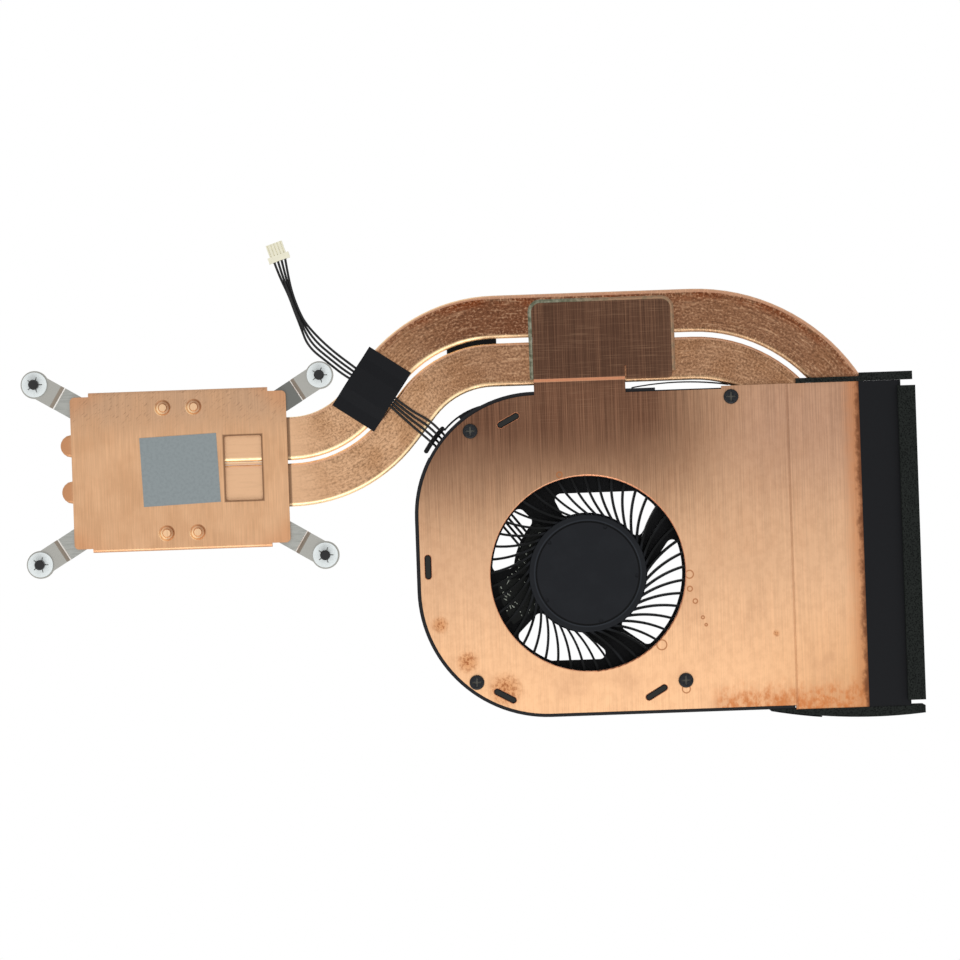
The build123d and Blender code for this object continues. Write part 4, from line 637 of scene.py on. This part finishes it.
def porous_foam():
    """Open-cell black foam: fine pits painted dark with shade between dull walls, with a few paler specks.
    """
    material, tree, place = start_finish("porous black foam")
    cell_width = 0.3
    cells = add(tree, "TexVoronoi", sockets={"Vector": place, "Scale": 1 / cell_width})
    walls = add(tree, "MapRange", cells, 0.15, 0.6, **SMOOTH)
    colour = add(tree, "Mix", walls, linear("#0B0C0C"), linear("#232624"), **OVER)
    speck = grain(tree, place, (0.25, 0.25, 0.25), 3.0, 0.7)
    specks = add(tree, "MapRange", speck, 0.62, 0.74, 0.0, 0.6, **SMOOTH)
    colour = add(tree, "Mix", specks, colour, linear("#4A4E4A"), **OVER)
    relief = {"Height": cells, "Distance": PIT_DEPTH * MM, "Strength": 1.0}
    surface = {
        "Base Color": colour,
        "Roughness": 0.95,
        "Specular IOR Level": 0.05,
        "Normal": add(tree, "Bump", sockets=relief),
    }
    end_finish(tree, surface)
    return material


def plain_finish(name, tone, roughness, metallic=0.0, mark_mm=0.4, mark=0.12, depth_mm=0.0, specular=0.5):
    """Finish of one tone, with a mottle drawn coarse enough to show."""
    material, tree, place = start_finish(name)
    mottle = grain(tree, place, (mark_mm,) * 3, 4.0)
    dark_marks = add(tree, "MapRange", mottle, 0.35, 0.6, mark, 0.0, **SMOOTH)
    surface = {
        "Base Color": add(tree, "Mix", dark_marks, linear(tone), linear("#808080"), **DARKEN),
        "Metallic": metallic,
        "Roughness": roughness,
        "Specular IOR Level": specular,
    }
    if depth_mm:
        relief = {"Height": mottle, "Distance": depth_mm * MM, "Strength": 1.0}
        surface["Normal"] = add(tree, "Bump", sockets=relief)
    end_finish(tree, surface)
    return material


cover_copper = brushed_copper_cover()
plate_copper = rolled_copper_plate()
pipe_copper = drawn_copper_pipe()
frame_plastic = moulded_black_frame()
impeller_plastic = moulded_impeller()
screw_zinc = glinting_black_screw()
spring_steel = satin_spring_steel()
soft_solder = bead_of_solder()
foam = porous_foam()
# Thermal compound, printed and dried: flat blue-grey with no sheen
compound = plain_finish("grey thermal compound", "#8A9294", 0.9, mark_mm=0.6, mark=0.1, specular=0.1)
# Black zinc plating on turned steel: dark with small sharp glints
black_zinc = plain_finish("black zinc plating", "#2B2B2C", 0.35, 0.6, mark_mm=0.3)
# Natural nylon, moulded: milky white with a low sheen
nylon = plain_finish("natural nylon", "#E2E8E8", 0.45, mark_mm=1.0, mark=0.06)
# Cream nylon of small moulded plugs: slightly yellow
cream_nylon = plain_finish("cream nylon", "#E6E2CB", 0.45, mark_mm=0.8, mark=0.06)
# Polyester film and tape: even matte black
black_film = plain_finish(
    "matte black film", "#131417", 0.6, mark_mm=0.5, mark=0.1, depth_mm=SKIN_DEPTH, specular=0.12
)
# Wire insulation, extruded: black with a narrow highlight
wire_jacket = plain_finish("black wire insulation", "#121213", 0.4, mark_mm=0.6, specular=0.3)
# Aluminium sheet, stamped and left bare: pale grey with a soft sheen
fin_metal = plain_finish("plain aluminium fins", "#B9BABA", 0.4, 0.9, mark_mm=0.8)
# Electrical steel, stamped and pressed: mid grey with a clear sheen
motor_steel = plain_finish("plain motor steel", "#8C8C8B", 0.35, 0.9)
# Ferrite powder bonded in plastic: dark brown-grey with no shine
ferrite = plain_finish("bonded ferrite", "#3A3532", 0.7)
# Sintered bronze: dull gold-brown with fine pores
bronze = plain_finish("sintered bronze", "#8B6A42", 0.55, 0.8, mark_mm=0.15, mark=0.3)
# Enamelled copper wire, wound: red-brown and glossy
enamelled_wire = plain_finish("enamelled copper wire", "#A4552B", 0.3, 0.8, mark_mm=0.15, mark=0.3)
# Solder mask over a circuit board: dark green with a low sheen
circuit_board = plain_finish(
    "green-black circuit board", "#161C17", 0.4, mark_mm=0.5, mark=0.3, specular=0.25
)
# Tin plating on stamped contacts: pale and bright
tinned_contact = plain_finish("tinned contact", "#BDB8AC", 0.3, 0.9)
# Solder joints: pale tin, dulled by flux, painted whiter than tin with a green tint to stand in for their
# glints
bright_solder = plain_finish("bright solder joint", "#DDE4D4", 0.45, 0.2, mark_mm=0.2)

FINISHES = {
    "cold_plate": plate_copper,
    "thermal_paste": compound,
    "outer_heat_pipe": pipe_copper,
    "inner_heat_pipe": pipe_copper,
    "upper_spring_bracket": spring_steel,
    "lower_spring_bracket": spring_steel,
    "fan_cover": cover_copper,
    "ear_solder": soft_solder,
    "pipe_solder": pipe_copper,
    "fan_frame": frame_plastic,
    "impeller": impeller_plastic,
    "bearing_sleeve": bronze,
    "thrust_washer": nylon,
    "stator_core": motor_steel,
    "stator_coils": enamelled_wire,
    "motor_board": circuit_board,
    "motor_leads": wire_jacket,
    "cover_screws": screw_zinc,
    "fin_stack": fin_metal,
    "outlet_film": black_film,
    "outlet_foam": foam,
    "upper_end_foam": foam,
    "lower_end_foam": foam,
    "upper_side_film": black_film,
    "lower_side_film": black_film,
    "wire_tape": black_film,
    "rear_pipe_tape": black_film,
    "wire_connector": cream_nylon,
    "connector_contacts": tinned_contact,
    "rotor_yoke": motor_steel,
    "rotor_magnet": ferrite,
    "rotor_shaft": motor_steel,
}
for number in range(1, 5):
    FINISHES[f"cpu_screw_{number}"] = black_zinc
    FINISHES[f"screw_retainer_{number}"] = nylon
    FINISHES[f"fan_wire_{number}"] = wire_jacket
for name, finish in FINISHES.items():
    piece[name].data.materials.clear()
    piece[name].data.materials.append(finish)


def lay_wire(name, route):
    """One wire along its route, from the frame's clip to the plug."""
    curve = bpy.data.curves.new(name + "_line", "CURVE")
    curve.dimensions = "3D"
    curve.bevel_depth = WIRE_DIAMETER / 2 * MM
    curve.bevel_resolution = 3
    curve.resolution_u = 10
    spline = curve.splines.new("NURBS")
    spline.points.add(len(route) - 1)
    for point, place in zip(spline.points, route):
        point.co = (place[0] * MM, place[1] * MM, place[2] * MM, 1.0)
    spline.order_u = 3
    spline.use_endpoint_u = True
    wire = bpy.data.objects.new(name + "_jacket", curve)
    bpy.context.collection.objects.link(wire)
    curve.materials.append(wire_jacket)
    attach(wire, "heatsink")
    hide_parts(name)
    return wire


for name, route in WIRE_ROUTES.items():
    wire = lay_wire(name, route)


def solder_joints():
    """Small drawn-out pads of solder standing on the motor board."""
    pads = bmesh.new()
    for x, y, length, width, turn in BOARD_SOLDER:
        spot = Matrix.Translation((x * MM, y * MM, (BOARD_LEVEL + SOLDER_HEIGHT / 2) * MM))
        heading = Matrix.Rotation(radians(turn), 4, "Z")
        shape = Matrix.Diagonal((length / 2 * MM, width / 2 * MM, SOLDER_HEIGHT * MM, 1.0))
        bmesh.ops.create_cone(
            pads,
            cap_ends=True,
            segments=SOLDER_SIDES,
            radius1=1.0,
            radius2=SOLDER_TOP,
            depth=1.0,
            matrix=spot @ heading @ shape,
        )
    mesh = bpy.data.meshes.new("solder_joints")
    pads.to_mesh(mesh)
    pads.free()
    mesh.materials.append(bright_solder)
    joints = bpy.data.objects.new("solder_joints", mesh)
    bpy.context.collection.objects.link(joints)
    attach(joints, "heatsink")


solder_joints()


def white_to_camera(tree, lit, shader, output):
    """Show plain white to the camera and in reflections, and the lit surface to everything else."""
    path = add(tree, "LightPath").node.outputs
    seen = path["Is Camera Ray"]
    for ray in ("Is Glossy Ray", "Is Transmission Ray"):
        seen = add(tree, "Math", seen, path[ray], operation="MAXIMUM")
    white = add(tree, shader, (1, 1, 1, 1))
    add(tree, output, add(tree, "MixShader", seen, lit, white))


# Pale table under the part
table_place = (TABLE_MIDDLE * MM, 0.0, (BACK_OF_FAN - TABLE_GAP) * MM)
bpy.ops.mesh.primitive_plane_add(size=TABLE_WIDTH * MM, location=table_place)
table = bpy.context.object
table.name = "pale_table"
table_white = bpy.data.materials.new("pale table")
table_white.use_nodes = True
table_white.node_tree.nodes.clear()
paper = add(table_white.node_tree, "BsdfDiffuse", linear("#E4E4E2"))
white_to_camera(table_white.node_tree, paper, "Emission", "OutputMaterial")
table.data.materials.append(table_white)

# Studio dome: bright overhead, dimmer towards the horizon
dome = bpy.data.worlds.new("studio dome")
bpy.context.scene.world = dome
dome.use_nodes = True
dome.node_tree.nodes.clear()
upward = add(dome.node_tree, "TexCoord").node.outputs["Generated"]
height = add(dome.node_tree, "SeparateXYZ", upward).node.outputs["Z"]
glow = add(dome.node_tree, "MapRange", height, 0.0, 0.9, HORIZON_LIGHT, ZENITH_LIGHT, **SMOOTH)
sky = add(dome.node_tree, "Background", (1, 1, 1, 1), glow)
white_to_camera(dome.node_tree, sky, "Background", "OutputWorld")

# Soft box beyond the lower edge, for the edges that catch light
softbox = bpy.data.lights.new("softbox", "AREA")
softbox.shape = "RECTANGLE"
softbox.size, softbox.size_y = (side * MM for side in SOFTBOX_SIZE)
softbox.energy = SOFTBOX_WATTS
lamp = bpy.data.objects.new("softbox", softbox)
lamp.location = [value * MM for value in SOFTBOX_PLACE]
lamp.rotation_euler = (radians(SOFTBOX_TILT), 0.0, 0.0)
bpy.context.collection.objects.link(lamp)

# Camera straight above, turned two degrees
camera = bpy.data.cameras.new("camera")
camera.sensor_width = SENSOR_WIDTH
camera.lens = SENSOR_WIDTH * CAMERA_HEIGHT / PICTURE_WIDTH
camera.clip_end = 10.0
viewer = bpy.data.objects.new("camera", camera)
viewer.location = [value * MM for value in (*PICTURE_MIDDLE, CAMERA_HEIGHT)]
viewer.rotation_euler = (0.0, 0.0, radians(CAMERA_TURN))
bpy.context.collection.objects.link(viewer)
bpy.context.scene.camera = viewer
bpy.context.scene.view_settings.view_transform = "Standard"
